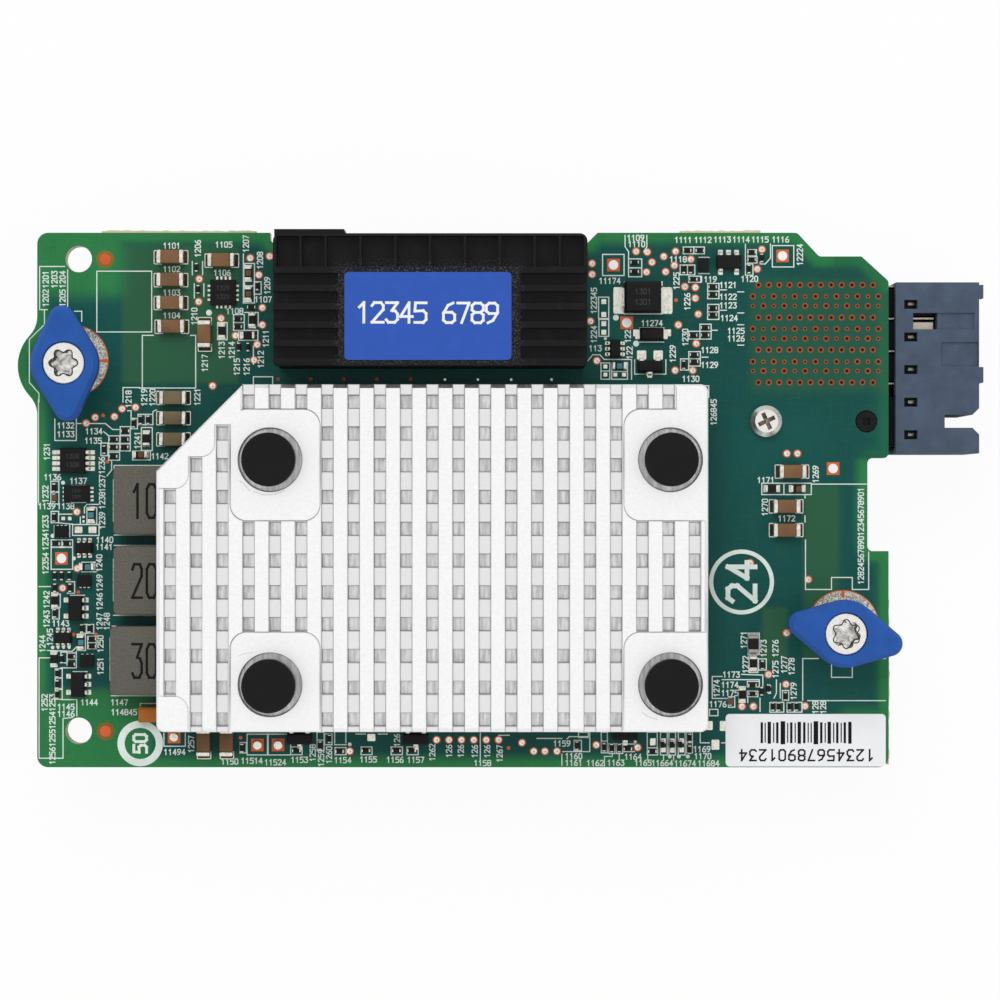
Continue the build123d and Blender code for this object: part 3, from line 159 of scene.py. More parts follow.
def sizes():
    return bpy.context.scene.card_sizes


def colours():
    return bpy.context.scene.card_colours


# Node helper and finishes


def add_node(tree, kind, inputs=(), output=0, **settings):
    """Add a node with its attributes and its inputs, by name or in order, and return one of its outputs."""
    node = tree.nodes.new("ShaderNode" + kind)
    for key, value in settings.items():
        setattr(node, key, value)
    pairs = inputs.items() if isinstance(inputs, dict) else enumerate(inputs)
    for key, value in pairs:
        socket = node.inputs[key]
        if isinstance(value, bpy.types.NodeSocket):
            tree.links.new(value, socket)
        elif socket.type == "RGBA":
            socket.default_value = (*value, 1)
        else:
            socket.default_value = value
    return node.outputs[output]


def new_finish(name, colour, roughness, metallic=0.0):
    """Material with one Principled shader; mouldings and mask reflect less than bare metal does."""
    material = bpy.data.materials.new(name)
    material.use_nodes = True
    tree = material.node_tree
    shader = tree.nodes["Principled BSDF"]
    shader.inputs["Base Color"].default_value = (*colour, 1)
    shader.inputs["Roughness"].default_value = roughness
    shader.inputs["Metallic"].default_value = metallic
    if metallic < 1:
        shader.inputs["Specular IOR Level"].default_value = PLASTIC_SPECULAR
    return material, tree


def finished(material, tone, pattern, gloss, depth):
    """Give a material its tone, its bumps and a gloss that follows the pattern between two roughnesses."""
    tree = material.node_tree
    shader = tree.nodes["Principled BSDF"]
    bumps = add_node(tree, "Bump", {"Strength": 1.0, "Distance": depth, "Height": pattern})
    tree.links.new(tone, shader.inputs["Base Color"])
    tree.links.new(bumps, shader.inputs["Normal"])
    if gloss:
        uneven = add_node(tree, "MapRange", (pattern, 0.3, 0.7, *gloss))
        tree.links.new(uneven, shader.inputs["Roughness"])
    return material


def grain(tree, size, detail, stretch=(1, 1, 1), distortion=0.0):
    """Uneven pattern on Object coordinates, from the real width of one of its grains."""
    place = add_node(tree, "TexCoord", output="Object")
    place = add_node(tree, "Mapping", {"Vector": place, "Scale": stretch})
    inputs = {"Vector": place, "Scale": 1 / size, "Detail": detail, "Distortion": distortion}
    return add_node(tree, "TexNoise", inputs)


def tone_between(tree, pattern, low, high, first, second, most=1.0):
    """Colour that goes from the first towards the second, by a share at most, as a pattern rises."""
    share = add_node(tree, "MapRange", (pattern, low, high, 0.0, most))
    return add_node(tree, "Mix", {0: share, 6: first, 7: second}, **COLOUR_MIX)


def facing_up(tree):
    """1 on level faces, 0 on upright ones."""
    normal = add_node(tree, "NewGeometry", output="True Normal")
    return add_node(tree, "SeparateXYZ", (normal,), "Z")


def object_height(tree):
    """Height of a point in Object coordinates."""
    place = add_node(tree, "TexCoord", output="Object")
    return add_node(tree, "SeparateXYZ", (place,), "Z")


def from_middle(tree, node):
    """Level place, counted from the middle of a CAD node's box."""
    low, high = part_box(node)
    centre = (low + high) / 2
    place = add_node(tree, "TexCoord", output="Object")
    inputs = {"Vector": place, "Location": (-centre.x, -centre.y, 0), "Scale": (1, 1, 0)}
    return add_node(tree, "Mapping", inputs)


def toned(colour, share):
    """Darker colour for a share below 1, lighter for one above."""
    return tuple(channel * share for channel in colour)


# The real grain of these mouldings, films and platings is 0.02 to 0.05 mm wide, finer than a pixel of
# the render. It is drawn 0.1 to 0.4 mm wide, which is as coarse as it needs to show.


def mottled(name, colour, roughness, metallic=0.0, size=0.4 * MM, depth=0.02 * MM, spread=0.12, shade=0.8):
    """Finish with a fine grain, a colour that drifts over twelve grains, and uneven gloss."""
    material, tree = new_finish(name, colour, roughness, metallic)
    tone = tone_between(tree, grain(tree, size * 12, 2), 0.35, 0.65, toned(colour, shade), colour)
    gloss = (roughness - spread / 2, roughness + spread / 2)
    return finished(material, tone, grain(tree, size, 4), gloss, depth)


def solder_mask(name, colour, deep):
    """Green mask: slow tint changes, faint weave of the glass cloth, laminate at the cut edge."""
    material, tree = new_finish(name, colour, 0.32)
    tone = tone_between(tree, grain(tree, 11.11 * MM, 2), 0.38, 0.62, deep, colour)
    fine = grain(tree, 0.25 * MM, 3)
    tone = tone_between(tree, fine, 0.25, 0.75, tone, toned(colour, 1.25), 0.25)
    laminate = colours().laminate
    layers = grain(tree, 0.1111 * MM, 2, (0.02, 0.02, 1))
    edge = tone_between(tree, layers, 0.4, 0.6, toned(laminate, 0.72), laminate)
    level = add_node(tree, "Math", (facing_up(tree), 2.0), operation="POWER")
    tone = tone_between(tree, level, 0.8, 0.2, tone, edge)
    return finished(material, tone, fine, (0.26, 0.38), 0.004 * MM)


def planes_through_mask(name, light, dark, thinner):
    """Clear green mask: dark over copper planes, lighter where an inner plane stops, bright with none."""
    material, tree = new_finish(name, light, 0.35)
    slow = grain(tree, 14.29 * MM, 3)
    deep = tone_between(tree, slow, 0.35, 0.65, toned(dark, 0.86), toned(dark, 1.1))
    bright = tone_between(tree, slow, 0.35, 0.65, toned(light, 0.86), toned(light, 1.08))
    thin = add_node(tree, "Attribute", output="Fac", attribute_name="thin_share")
    bare = add_node(tree, "Attribute", output="Fac", attribute_name="bare_share")
    tone = tone_between(tree, thin, 0, 1, deep, thinner)
    tone = tone_between(tree, bare, 0, 1, tone, bright)
    for stretch in ((1, 7, 1), (7, 1, 1)):
        tracks = grain(tree, 2.381 * MM, 1, stretch)
        tone = tone_between(tree, tracks, 0.56, 0.63, tone, thinner, 0.14)
    return finished(material, tone, grain(tree, 0.25 * MM, 3), (0.3, 0.42), 0.003 * MM)


def milled_metal(name, colour, roughness, streak=(1, 12, 12)):
    """Bare metal with cutter streaks and a few fine scratches."""
    material, tree = new_finish(name, colour, roughness, 1.0)
    lines = grain(tree, 1.111 * MM, 4, streak)
    tone = tone_between(tree, lines, 0.3, 0.7, toned(colour, 0.9), colour)
    marks = grain(tree, 6.25 * MM, 1, (6, 1, 1), 1.2)
    rising = add_node(tree, "MapRange", (marks, 0.497, 0.5))
    falling = add_node(tree, "MapRange", (marks, 0.5, 0.503, 1.0, 0.0))
    scratch = add_node(tree, "Math", (rising, falling), operation="MULTIPLY")
    tone = tone_between(tree, scratch, 0, 1, tone, toned(colour, 0.6), SCRATCH_SHARE)
    return finished(material, tone, lines, (roughness - 0.05, roughness + 0.08), 0.003 * MM)


def driven_steel(name, colour, node, reach, tinge=None):
    """Plated screw: its drive has painted shade along the walls and painted glints, dark and bright patches,
    at the bottom.
    """
    material, tree = new_finish(name, colour, 0.3, 1.0)
    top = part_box(node)[1].z
    apart = add_node(tree, "VectorMath", (from_middle(tree, node),), "Value", operation="LENGTH")
    inside = add_node(tree, "MapRange", (apart, reach, reach * 1.02, 1.0, 0.0))
    below = add_node(tree, "MapRange", (object_height(tree), top - 0.45 * MM, top - 0.2 * MM, 1.0, 0.0))
    upright = add_node(tree, "MapRange", (facing_up(tree), 0.3, 0.8, 1.0, 0.0))
    bottom = add_node(tree, "Math", (inside, below), operation="MULTIPLY")
    shaded_wall = add_node(tree, "Math", (inside, upright), operation="MULTIPLY")
    # Painted glints: dark and bright patches at the bottom of the drive.
    glint_colour = tinge or colour
    cloud = grain(tree, 0.7692 * MM, 4, distortion=0.8)
    painted_glints = tone_between(tree, cloud, 0.36, 0.62, toned(glint_colour, 0.34), toned(glint_colour, 1.05))
    fine = grain(tree, 0.3333 * MM, 3)
    tone = tone_between(tree, fine, 0.35, 0.65, toned(colour, 0.88), colour)
    tone = tone_between(tree, bottom, 0, 1, tone, painted_glints)
    # Painted shade: the drive's walls are near black.
    tone = tone_between(tree, shaded_wall, 0, 1, tone, toned(colour, 0.2))
    return finished(material, tone, fine, (0.26, 0.4), 0.006 * MM)


def cast_aluminium(name, colour, top):
    """Die-cast plate: fine grain on the bars, painted shade on the lower webs, and deeper painted shade with
    tool streaks along Y on the lower floors of the pits.
    """
    material, tree = new_finish(name, colour, 0.42, 1.0)
    fine = grain(tree, 0.3125 * MM, 4)
    tone = tone_between(tree, fine, 0.3, 0.7, toned(colour, 0.93), colour)
    height = object_height(tree)
    # Painted shade: everything more than about 0.4 mm below the top, such as the webs between the bars, is
    # darker.
    tone = tone_between(tree, height, top - 0.34 * MM, top - 0.42 * MM, tone, toned(colour, 0.84))
    # Painted shade: level floors of the pits, about 1 mm and more below the top, are darker still; the
    # streaks on them are real tool marks.
    deep = add_node(tree, "MapRange", (height, top - 1.1 * MM, top - 0.9 * MM, 1.0, 0.0))
    level = add_node(tree, "MapRange", (facing_up(tree), 0.5, 0.9))
    shaded_pit = add_node(tree, "Math", (level, deep), operation="MULTIPLY")
    streaks = grain(tree, 0.4167 * MM, 3, (1, 0.12, 1))
    floor = tone_between(tree, streaks, 0.36, 0.64, toned(colour, 0.62), toned(colour, 0.92))
    tone = tone_between(tree, shaded_pit, 0, 1, tone, floor)
    return finished(material, tone, fine, (0.36, 0.5), 0.005 * MM)


def dipped_tin(name, colour, size=0.3846 * MM, depth=0.03 * MM, shade=0.66):
    """Tin and solder with cloudy, uneven gloss."""
    material, tree = new_finish(name, colour, 0.3, 1.0)
    cloud = grain(tree, size, 4, distortion=0.6)
    tone = tone_between(tree, cloud, 0.35, 0.62, toned(colour, shade), colour)
    return finished(material, tone, cloud, (0.18, 0.45), depth)


def sandy_composite(name, colour):
    """Pressed iron powder: sandy grain, lighter rubbed specks."""
    material, tree = new_finish(name, colour, 0.6)
    sand = grain(tree, 0.1923 * MM, 5)
    tone = tone_between(tree, sand, 0.3, 0.7, toned(colour, 0.72), colour)
    specks = grain(tree, 0.13333 * MM, 2)
    tone = tone_between(tree, specks, 0.62, 0.7, tone, toned(colour, 1.5))
    return finished(material, tone, sand, None, 0.05 * MM)


def worn_black(name, colour):
    """Fine-grained black moulding with a satin sheen, rubbed to light specks round its label."""
    material, tree = new_finish(name, colour, 0.5)
    fine = grain(tree, 0.14286 * MM, 4)
    tone = tone_between(tree, fine, 0.3, 0.75, toned(colour, 0.7), toned(colour, 1.5))
    rubbed = grain(tree, 1.4286 * MM, 5, distortion=0.4)
    tone = tone_between(tree, rubbed, 0.6, 0.72, tone, toned(colour, 2.4), 0.6)
    low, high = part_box("cap_label")
    half = (high - low) / 2
    apart = add_node(tree, "VectorMath", (from_middle(tree, "cap_label"),), operation="ABSOLUTE")
    across = add_node(tree, "SeparateXYZ", (apart,), "X")
    across = add_node(tree, "Math", (across, half.x), operation="SUBTRACT")
    down = add_node(tree, "SeparateXYZ", (apart,), "Y")
    down = add_node(tree, "Math", (down, half.y), operation="SUBTRACT")
    outside = add_node(tree, "Math", (across, down), operation="MAXIMUM")
    near = add_node(tree, "MapRange", (outside, 0.2 * MM, 1.8 * MM, 1.0, 0.0))
    dust = add_node(tree, "MapRange", (grain(tree, 0.1923 * MM, 3), 0.52, 0.66, 0.0, 0.75))
    worn = add_node(tree, "Math", (near, dust), operation="MULTIPLY")
    tone = tone_between(tree, worn, 0, 1, tone, linear("#55565a"))
    return finished(material, tone, fine, (0.42, 0.6), 0.03 * MM)


FINISHES = {}


def make_finishes():
    """All finishes of the card, by the name that the pieces use."""
    tone = colours()
    FINISHES.update(
        # Photo-imaged mask on glass laminate: smooth, fairly glossy, with the tint of what lies below it.
        mask=solder_mask("Solder mask over laminate", tone.mask_light, toned(tone.mask_light, 0.72)),
        film=planes_through_mask("Clear green mask", tone.mask_light, tone.mask_dark, tone.mask_thin),
        plane=solder_mask("Solder mask over copper", tone.mask_dark, toned(tone.mask_dark, 0.8)),
        # Glass laminate broken or routed at its edge: dry, pale and fibrous.
        laminate=mottled("Cut glass laminate", tone.laminate, 0.75, size=0.3333 * MM, depth=0.05 * MM),
        # Rolled copper under a thin clear finish: warm, and only half as bright as bare metal.
        copper=mottled("Bare copper", tone.copper, 0.35, metallic=0.35, size=0.2857 * MM),
        field=mottled("Plated copper barrel", toned(tone.copper, 0.62), 0.4, metallic=0.3, size=0.2857 * MM),
        # Screen-printed epoxy ink: dull white, a little uneven.
        ink=mottled("White ink", tone.ink, 0.6, size=0.16667 * MM, depth=0.01 * MM, shade=0.88),
        # Die-cast aluminium, left bare: pale and softly grained, with painted shade on its lower levels and
        # on its bevelled edges.
        aluminium=cast_aluminium("Bare cast aluminium", tone.aluminium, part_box("heat_sink")[1].z),
        # Painted shade: the plate's bevelled edges are darker aluminium.
        worn_edge=milled_metal("Broken aluminium edges", toned(tone.aluminium, 0.6), 0.45),
        # Turned steel with nickel plating: bright, with the cutter's lines; in each screw's drive, painted
        # shade on the walls and painted glints at the bottom.
        steel=milled_metal("Nickel plated steel", tone.steel, 0.3, streak=(8, 8, 1)),
        left_drive=driven_steel("Left plated screw", tone.steel, "left_screw", 1.9 * MM),
        right_drive=driven_steel("Right plated screw", tone.steel, "right_screw", 1.9 * MM),
        # The rear screw's painted glints are in a warm grey of their own.
        rear_drive=driven_steel("Rear plated screw", tone.steel, "rear_screw", 1.25 * MM, linear("#8f8478")),
        # Painted shade: a dark ring along the rim of each screw's drive.
        drive_edge=mottled("Shadowed edge of the drive", linear("#34322f"), 0.4, metallic=0.4),
        # Stamped contacts in matt nickel: yellowish grey, low gloss.
        dull_nickel=milled_metal("Dull nickel contacts", linear("#cfc6b8"), 0.45),
        # Fired ceramic and printed films: even, waxy and slightly speckled.
        dull_ceramic=mottled(
            "Dull brown ceramic", linear("#766a4f"), 0.35, size=0.2222 * MM, depth=0.01 * MM, shade=0.75
        ),
        halo=mottled("Bare laminate round the dots", tone.halo, 0.5),
        cyan=mottled("Resistor film", linear("#4b8a93"), 0.35),
        brown=mottled("Brown ceramic film", linear("#6b4f36"), 0.4),
        # Solder seen on its steep side: painted shade makes it dark; broken gloss.
        slope=mottled("Solder in shade", linear("#57503f"), 0.35, metallic=0.4, spread=0.3, shade=0.5),
        # Drawn spring wire: steel with fine lines along it.
        spring=milled_metal("Spring steel", toned(tone.steel, 0.7), 0.3, streak=(8, 8, 1)),
        # Reflowed solder, dipped tin and plated gold: cloudy, brighter where they ran smooth.
        tin=dipped_tin("Dipped tin", tone.tin),
        dark_tin=dipped_tin("Dull solder", toned(tone.tin, 0.45)),
        rough_tin=dipped_tin("Rough solder", toned(tone.tin, 0.9), 0.2381 * MM, 0.14 * MM, 0.2),
        gold=dipped_tin("Thin gold", tone.gold),
        # Moulded nylon and grained cap moulding: satin, fine-grained, near black, slate or blue.
        nylon=mottled("Black nylon", tone.nylon, 0.42, size=0.2 * MM, depth=0.01 * MM),
        cap=worn_black("Grained black moulding", tone.cap),
        slate=mottled("Slate glass-filled nylon", tone.slate, 0.5, size=0.15385 * MM, depth=0.02 * MM),
        wing=mottled("Blue nylon", tone.wing, 0.42, size=0.2 * MM, depth=0.015 * MM, shade=0.9),
        # Printed film and coated paper: even and almost flat.
        label=mottled(
            "Blue printed film", tone.label, 0.45, size=0.14286 * MM, depth=0.008 * MM, shade=0.93
        ),
        paper=mottled("White coated paper", tone.paper, 0.5, size=0.25 * MM, depth=0.006 * MM, shade=0.97),
        # Moulded epoxy: matt black with the fine texture of its mould.
        epoxy=mottled("Moulded epoxy", tone.epoxy, 0.5, size=0.11111 * MM, depth=0.015 * MM),
        # Fired ceramic and glazed chips: smooth, with a low gloss.
        ceramic=mottled(
            "Fired brown ceramic", tone.ceramic, 0.35, size=0.2222 * MM, depth=0.01 * MM, shade=0.75
        ),
        glaze=mottled("Black glaze", tone.glaze, 0.3, size=0.16667 * MM, depth=0.01 * MM),
        # Pressed iron powder: sandy, grey brown.
        composite=sandy_composite("Pressed iron powder", tone.composite),
        # Moulded ochre case: satin.
        ochre=mottled("Ochre moulding", tone.ochre, 0.4, size=0.2 * MM),
        # Filled silicone: soft, matt and uneven.
        silicone=mottled("Soft thermal silicone", tone.silicone, 0.7, size=0.4 * MM, depth=0.05 * MM),
        # Black print and grey laser marks: matt, no grain to see.
        marking=mottled("Black marking", linear("#121212"), 0.6, size=0.11111 * MM, depth=0.005 * MM),
        laser=mottled("Grey laser marking", linear("#454546"), 0.6, size=0.11111 * MM, depth=0.005 * MM),
    )


FINISH_NODES = {
    "mask": ("circuit_board",),
    "plane": ("controller_substrate",),
    "aluminium": ("heat_sink",),
    "nylon": ("push_pins", "mezzanine_housing", "rear_wafers", "guide_block"),
    "spring": ("pin_springs", "left_clip", "right_clip"),
    "steel": ("controller_lid", "left_standoff", "right_standoff"),
    "silicone": ("thermal_pad",),
    "cap": ("press_cap",),
    "label": ("cap_label",),
    "gold": ("mezzanine_blades",),
    "slate": ("rear_housing",),
    "dull_nickel": ("rear_shields", "ground_strip"),
    "rear_drive": ("rear_screw",),
    "left_drive": ("left_screw",),
    "right_drive": ("right_screw",),
    "wing": ("left_wing", "right_wing"),
    "composite": ("inductor_1", "inductor_2", "inductor_3"),
    "tin": (
        "inductor_terminals", "capacitor_ends", "package_leads", "power_diode_leads", "small_diode_leads",
    ),
    "ceramic": ("capacitor_bodies", "underside_chips"),
    "ochre": ("orange_capacitor",),
    "glaze": ("chips_0402", "chips_0603", "chip_0805"),
    "epoxy": ("leaded_bodies", "leadless_packages", "power_diode", "small_diode"),
    "paper": ("serial_label",),
}


# Modelling helpers


def clear_selection():
    bpy.ops.object.select_all(action="DESELECT")


def pick(*pieces):
    """Select only these pieces, the first one active."""
    clear_selection()
    for piece in pieces:
        piece.select_set(True)
    bpy.context.view_layer.objects.active = pieces[0]


def settle():
    """Put the active piece's place, turn and scale into its mesh."""
    bpy.ops.object.transform_apply(location=True, rotation=True, scale=True)
    return bpy.context.view_layer.objects.active


def paint(piece, *names):
    piece.data.materials.clear()
    for name in names:
        piece.data.materials.append(FINISHES[name])


def keep(piece, name, finish=None, body="card", stands_for=()):
    """Name a finished piece, give it its finish, and let it ride on its body."""
    piece.name = name
    piece.data.name = name
    if finish:
        paint(piece, finish)
    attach(piece, body)
    if stands_for:
        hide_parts(*stands_for)
    return piece


def rounded(piece, width, segments=2, angle=35, edge_slot=-1, clamped=True):
    """Bevel every sharp edge, in a material slot of its own if one is given, and smooth the rest."""
    pick(piece)
    bevel = piece.modifiers.new("Edges", "BEVEL")
    bevel.width = width
    bevel.segments = segments
    bevel.limit_method = "ANGLE"
    bevel.angle_limit = math.radians(angle)
    bevel.material = edge_slot
    bevel.use_clamp_overlap = clamped
    bpy.ops.object.modifier_apply(modifier=bevel.name)
    bpy.ops.object.shade_smooth_by_angle(angle=math.radians(40))
    return piece


def new_block(low, high, round_by=0.0):
    """Box between two corners with rounded edges."""
    size = Vector(high) - Vector(low)
    clear_selection()
    bpy.ops.mesh.primitive_cube_add(size=1, location=(Vector(high) + Vector(low)) / 2, scale=size)
    piece = settle()
    return rounded(piece, round_by) if round_by else piece


def new_disc(place, radius, floor, ceiling, sides=24):
    clear_selection()
    bpy.ops.mesh.primitive_cylinder_add(
        vertices=sides, radius=radius, depth=ceiling - floor, location=(*place, (floor + ceiling) / 2)
    )
    return settle()


def unit_block():
    """Block of size 1 standing on z = 0, to be scaled to any size."""
    return new_block((-0.5, -0.5, 0), (0.5, 0.5, 1))


def select_faces(piece, wanted):
    """Select only the faces for which wanted is true, and stay in edit mode."""
    bpy.ops.object.mode_set(mode="EDIT")
    bpy.ops.mesh.select_mode(type="FACE")
    bpy.ops.mesh.select_all(action="DESELECT")
    bpy.ops.object.mode_set(mode="OBJECT")
    for face in piece.data.polygons:
        face.select = wanted(face)
    bpy.ops.object.mode_set(mode="EDIT")


def subdivided(piece, cuts):
    pick(piece)
    bpy.ops.object.mode_set(mode="EDIT")
    bpy.ops.mesh.select_all(action="SELECT")
    bpy.ops.mesh.subdivide(number_cuts=cuts)
    bpy.ops.object.mode_set(mode="OBJECT")
    return piece


def raised(piece, height):
    piece.data.transform(Matrix.Translation((0, 0, height)))
    return piece


def new_ring(radius, hole, thickness, sides=24):
    """Flat ring standing on z = 0 at the origin: a disc, inset, with its middle taken out."""
    piece = new_disc((0, 0), radius, 0, thickness, sides)
    select_faces(piece, lambda face: abs(face.normal.z) > 0.9)
    bpy.ops.mesh.inset(thickness=radius - hole, use_individual=True)
    bpy.ops.mesh.bridge_edge_loops()
    bpy.ops.object.mode_set(mode="OBJECT")
    return piece


def joined(parts, name):
    pick(*parts)
    if len(parts) > 1:
        bpy.ops.object.join()
    piece = bpy.context.view_layer.objects.active
    piece.name = name
    return piece


def repeated(model, name, places):
    """Copies of a model, each with its own mesh, moved by a matrix and joined; the model goes."""
    parts = []
    for matrix in places:
        part = model.copy()
        part.data = model.data.copy()
        part.data.transform(matrix)
        bpy.context.collection.objects.link(part)
        parts.append(part)
    bpy.data.objects.remove(model)
    return joined(parts, name)


def moved(x, y, z, turn=0.0, scale=(1, 1, 1)):
    """Matrix that scales, turns round Z and then moves."""
    size = Matrix.Diagonal((*scale, 1))
    return Matrix.Translation((x, y, z)) @ Matrix.Rotation(turn, 4, "Z") @ size


def node_copy(node, name, wanted_angle=0.02):
    """Copy of a CAD node with its loose triangles merged back into whole faces."""
    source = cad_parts[node]
    piece = bpy.data.objects.new(name, source.data.copy())
    bpy.context.collection.objects.link(piece)
    pick(piece)
    bpy.ops.object.mode_set(mode="EDIT")
    bpy.ops.mesh.select_all(action="SELECT")
    bpy.ops.mesh.remove_doubles(threshold=0.002 * MM)
    bpy.ops.mesh.dissolve_limited(angle_limit=wanted_angle)
    bpy.ops.object.mode_set(mode="OBJECT")
    piece.data.materials.clear()
    return piece


def solid_boxes(node):
    """Lowest and highest corner of each separate solid of a CAD node, sorted by place."""
    piece = node_copy(node, "reading")
    bpy.ops.object.mode_set(mode="EDIT")
    bpy.ops.mesh.separate(type="LOOSE")
    bpy.ops.object.mode_set(mode="OBJECT")
    boxes = []
    for part in list(bpy.context.selected_objects):
        points = [vertex.co for vertex in part.data.vertices]
        low = Vector([min(point[axis] for point in points) for axis in range(3)])
        high = Vector([max(point[axis] for point in points) for axis in range(3)])
        boxes.append((low, high))
        bpy.data.objects.remove(part)
    return sorted(boxes, key=lambda box: (round(box[0].x, 5), round(box[0].y, 5)))


def refined(node, finish, width, segments=2, body="card"):
    """CAD node with softened edges, standing for the plain one."""
    piece = rounded(node_copy(node, f"{node}_refined"), width, segments)
    return keep(piece, f"{node}_refined", finish, body, (node,))


def strips(name, runs, width, floor, thickness):
    """Thin raised lines along runs of points, each of its own height, so that crossings share no face."""
    model = unit_block()
    places = []
    for run in runs:
        for start, end in zip(run, run[1:]):
            dx = end[0] - start[0]
            dy = end[1] - start[1]
            reach = math.hypot(dx, dy) + width
            middle = ((start[0] + end[0]) / 2, (start[1] + end[1]) / 2)
            level = thickness * (1 + 0.3 * (len(places) * 0.618 % 1))
            places.append(moved(*middle, floor, math.atan2(dy, dx), (reach, width, level)))
    return repeated(model, name, places)


def in_metres(run):
    return [on_board(*point) for point in run]


def rectangle(left, top, right, bottom):
    """Closed run of corners in photograph pixels."""
    return [(left, top), (right, top), (right, bottom), (left, bottom), (left, top)]


# Board layers

# Corners without copper planes, and places where the inner planes stop, in photograph pixels.
NO_PLANE_AREAS = [(30, 225, 112, 285), (30, 704, 140, 775), (852, 722, 895, 775)]
THIN_PLANE_AREAS = [
    (124, 248, 236, 382), (806, 487, 838, 655), (764, 610, 786, 660), (60, 690, 150, 704),
]
CONTACT_FIELD = (756, 284, 884, 386)
# The bare rim is fainter right of and above this place, and fainter still below the third number.
REAR_CORNER = (835, 462, 290)
BROKEN_SIDE = 888.5
TOP_BREAK_STRIPS = [(101, 255), (680, 760)]
SIDE_BREAK_STRIP = (600, 765)


def outside_by(place, area):
    """How far a place lies outside a rectangle, 0 inside it."""
    left, top, right, bottom = area
    across = max(left - place[0], 0, place[0] - right)
    down = max(top - place[1], 0, place[1] - bottom)
    return math.hypot(across, down)


def fade_out(distance, reach):
    """1 at no distance, smoothly down to 0 at the reach."""
    share = min(max(1 - distance / reach, 0), 1)
    return share * share * (3 - 2 * share)


def cut_in_squares(piece, pitch):
    """Cut a flat piece along a square grid, so that a soft tint can follow its points."""
    shape = bmesh.new()
    shape.from_mesh(piece.data)
    low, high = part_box("circuit_board")
    for axis, start, end in ((0, low.x, high.x), (1, low.y, high.y)):
        normal = [0, 0, 0]
        normal[axis] = 1
        for step in range(1, int((end - start) / pitch)):
            place = [0, 0, 0]
            place[axis] = start + step * pitch
            bmesh.ops.bisect_plane(
                shape, geom=[*shape.verts, *shape.edges, *shape.faces], plane_co=place, plane_no=normal
            )
    shape.to_mesh(piece.data)
    shape.free()


def outer_edges(shape):
    """Open edges of the longest loop, so without the loops round holes."""
    waiting = {edge for edge in shape.edges if edge.is_boundary}
    loops = []
    while waiting:
        loop = [waiting.pop()]
        for edge in loop:
            near = {other for vertex in edge.verts for other in vertex.link_edges} & waiting
            waiting -= near
            loop += near
        loops.append(loop)
    return max(loops, key=lambda loop: sum(edge.calc_length() for edge in loop))


def rim_tree(piece, spacing):
    """Search tree of points along the outer edge of a flat piece."""
    shape = bmesh.new()
    shape.from_mesh(piece.data)
    points = []
    for edge in outer_edges(shape):
        start = edge.verts[0].co
        end = edge.verts[1].co
        steps = max(1, int((end - start).length / spacing))
        points += [start.lerp(end, step / steps) for step in range(steps + 1)]
    shape.free()
    tree = mathutils.kdtree.KDTree(len(points))
    for index, point in enumerate(points):
        tree.insert(point, index)
    tree.balance()
    return tree


class CARD_OT_board_layers(bpy.types.Operator):
    """Solder mask with its copper planes showing through, bare laminate along the broken-off edges"""

    bl_idname = "card.board_layers"
    bl_label = "Board layers"

    def execute(self, context):
        size = sizes()
        film = node_copy("circuit_board", "mask_film")
        select_faces(film, lambda face: face.normal.z < 0.9 or face.center.z < BOARD_TOP - 0.1 * MM)
        bpy.ops.mesh.delete(type="FACE")
        bpy.ops.object.mode_set(mode="OBJECT")
        cut_in_squares(film, 0.6 * MM)
        rim = rim_tree(film, 0.25 * MM)
        bare = film.data.attributes.new("bare_share", "FLOAT", "POINT")
        thin = film.data.attributes.new("thin_share", "FLOAT", "POINT")
        for index, vertex in enumerate(film.data.vertices):
            place = (vertex.co.x / PHOTO_SCALE + PHOTO_CENTRE, PHOTO_CENTRE - vertex.co.y / PHOTO_SCALE)
            from_rim = rim.find(vertex.co)[2]
            shares = [fade_out(from_rim - size.bare_edge, size.bare_fade)]
            shares += [fade_out(outside_by(place, area), 22) for area in NO_PLANE_AREAS]
            if place[0] > REAR_CORNER[0] and place[1] < REAR_CORNER[1]:
                fainter = 0.3 if place[1] > REAR_CORNER[2] else 0.7
                shares = [share * fainter for share in shares]
            bare.data[index].value = max(shares)
            shares = [fade_out(outside_by(place, area), 4) for area in THIN_PLANE_AREAS]
            shares.append(fade_out(outside_by(place, CONTACT_FIELD), 12) * 0.6)
            thin.data[index].value = max(shares)
        keep(raised(film, size.copper_height / 8), "mask_film", "film")

        low = BOARD_UNDERSIDE + 0.2 * MM
        corners = []
        for left, right in TOP_BREAK_STRIPS:
            start = (on_board(left, 0)[0], BOARD_HIGH.y - 0.1 * MM, low)
            end = (on_board(right, 0)[0], BOARD_HIGH.y + 0.35 * MM, BOARD_TOP)
            corners.append((start, end))
        side = on_board(BROKEN_SIDE, 0)[0]
        start = (side - 0.1 * MM, on_board(0, SIDE_BREAK_STRIP[1])[1], low)
        end = (side + 0.14 * MM, on_board(0, SIDE_BREAK_STRIP[0])[1], BOARD_TOP)
        corners.append((start, end))
        parts = [ragged_block(*pair) for pair in corners]
        keep(joined(parts, "break_off_edges"), "break_off_edges", "laminate")
        return {"FINISHED"}


def ragged_block(low, high):
    """Broken-off web of laminate: a block whose long edges are cut fine and shifted unevenly."""
    piece = subdivided(new_block(low, high), 48)
    along = 0 if high[0] - low[0] > high[1] - low[1] else 1
    across = 1 - along
    for vertex in piece.data.vertices:
        depth = (vertex.co[across] - low[across]) / (high[across] - low[across])
        place = (vertex.co[along] / (0.8 * MM), 3.0, vertex.co.z / (0.9 * MM))
        wave = mathutils.noise.noise(Vector(place))
        vertex.co[across] -= depth * (0.12 - 0.16 * wave) * MM
    return piece


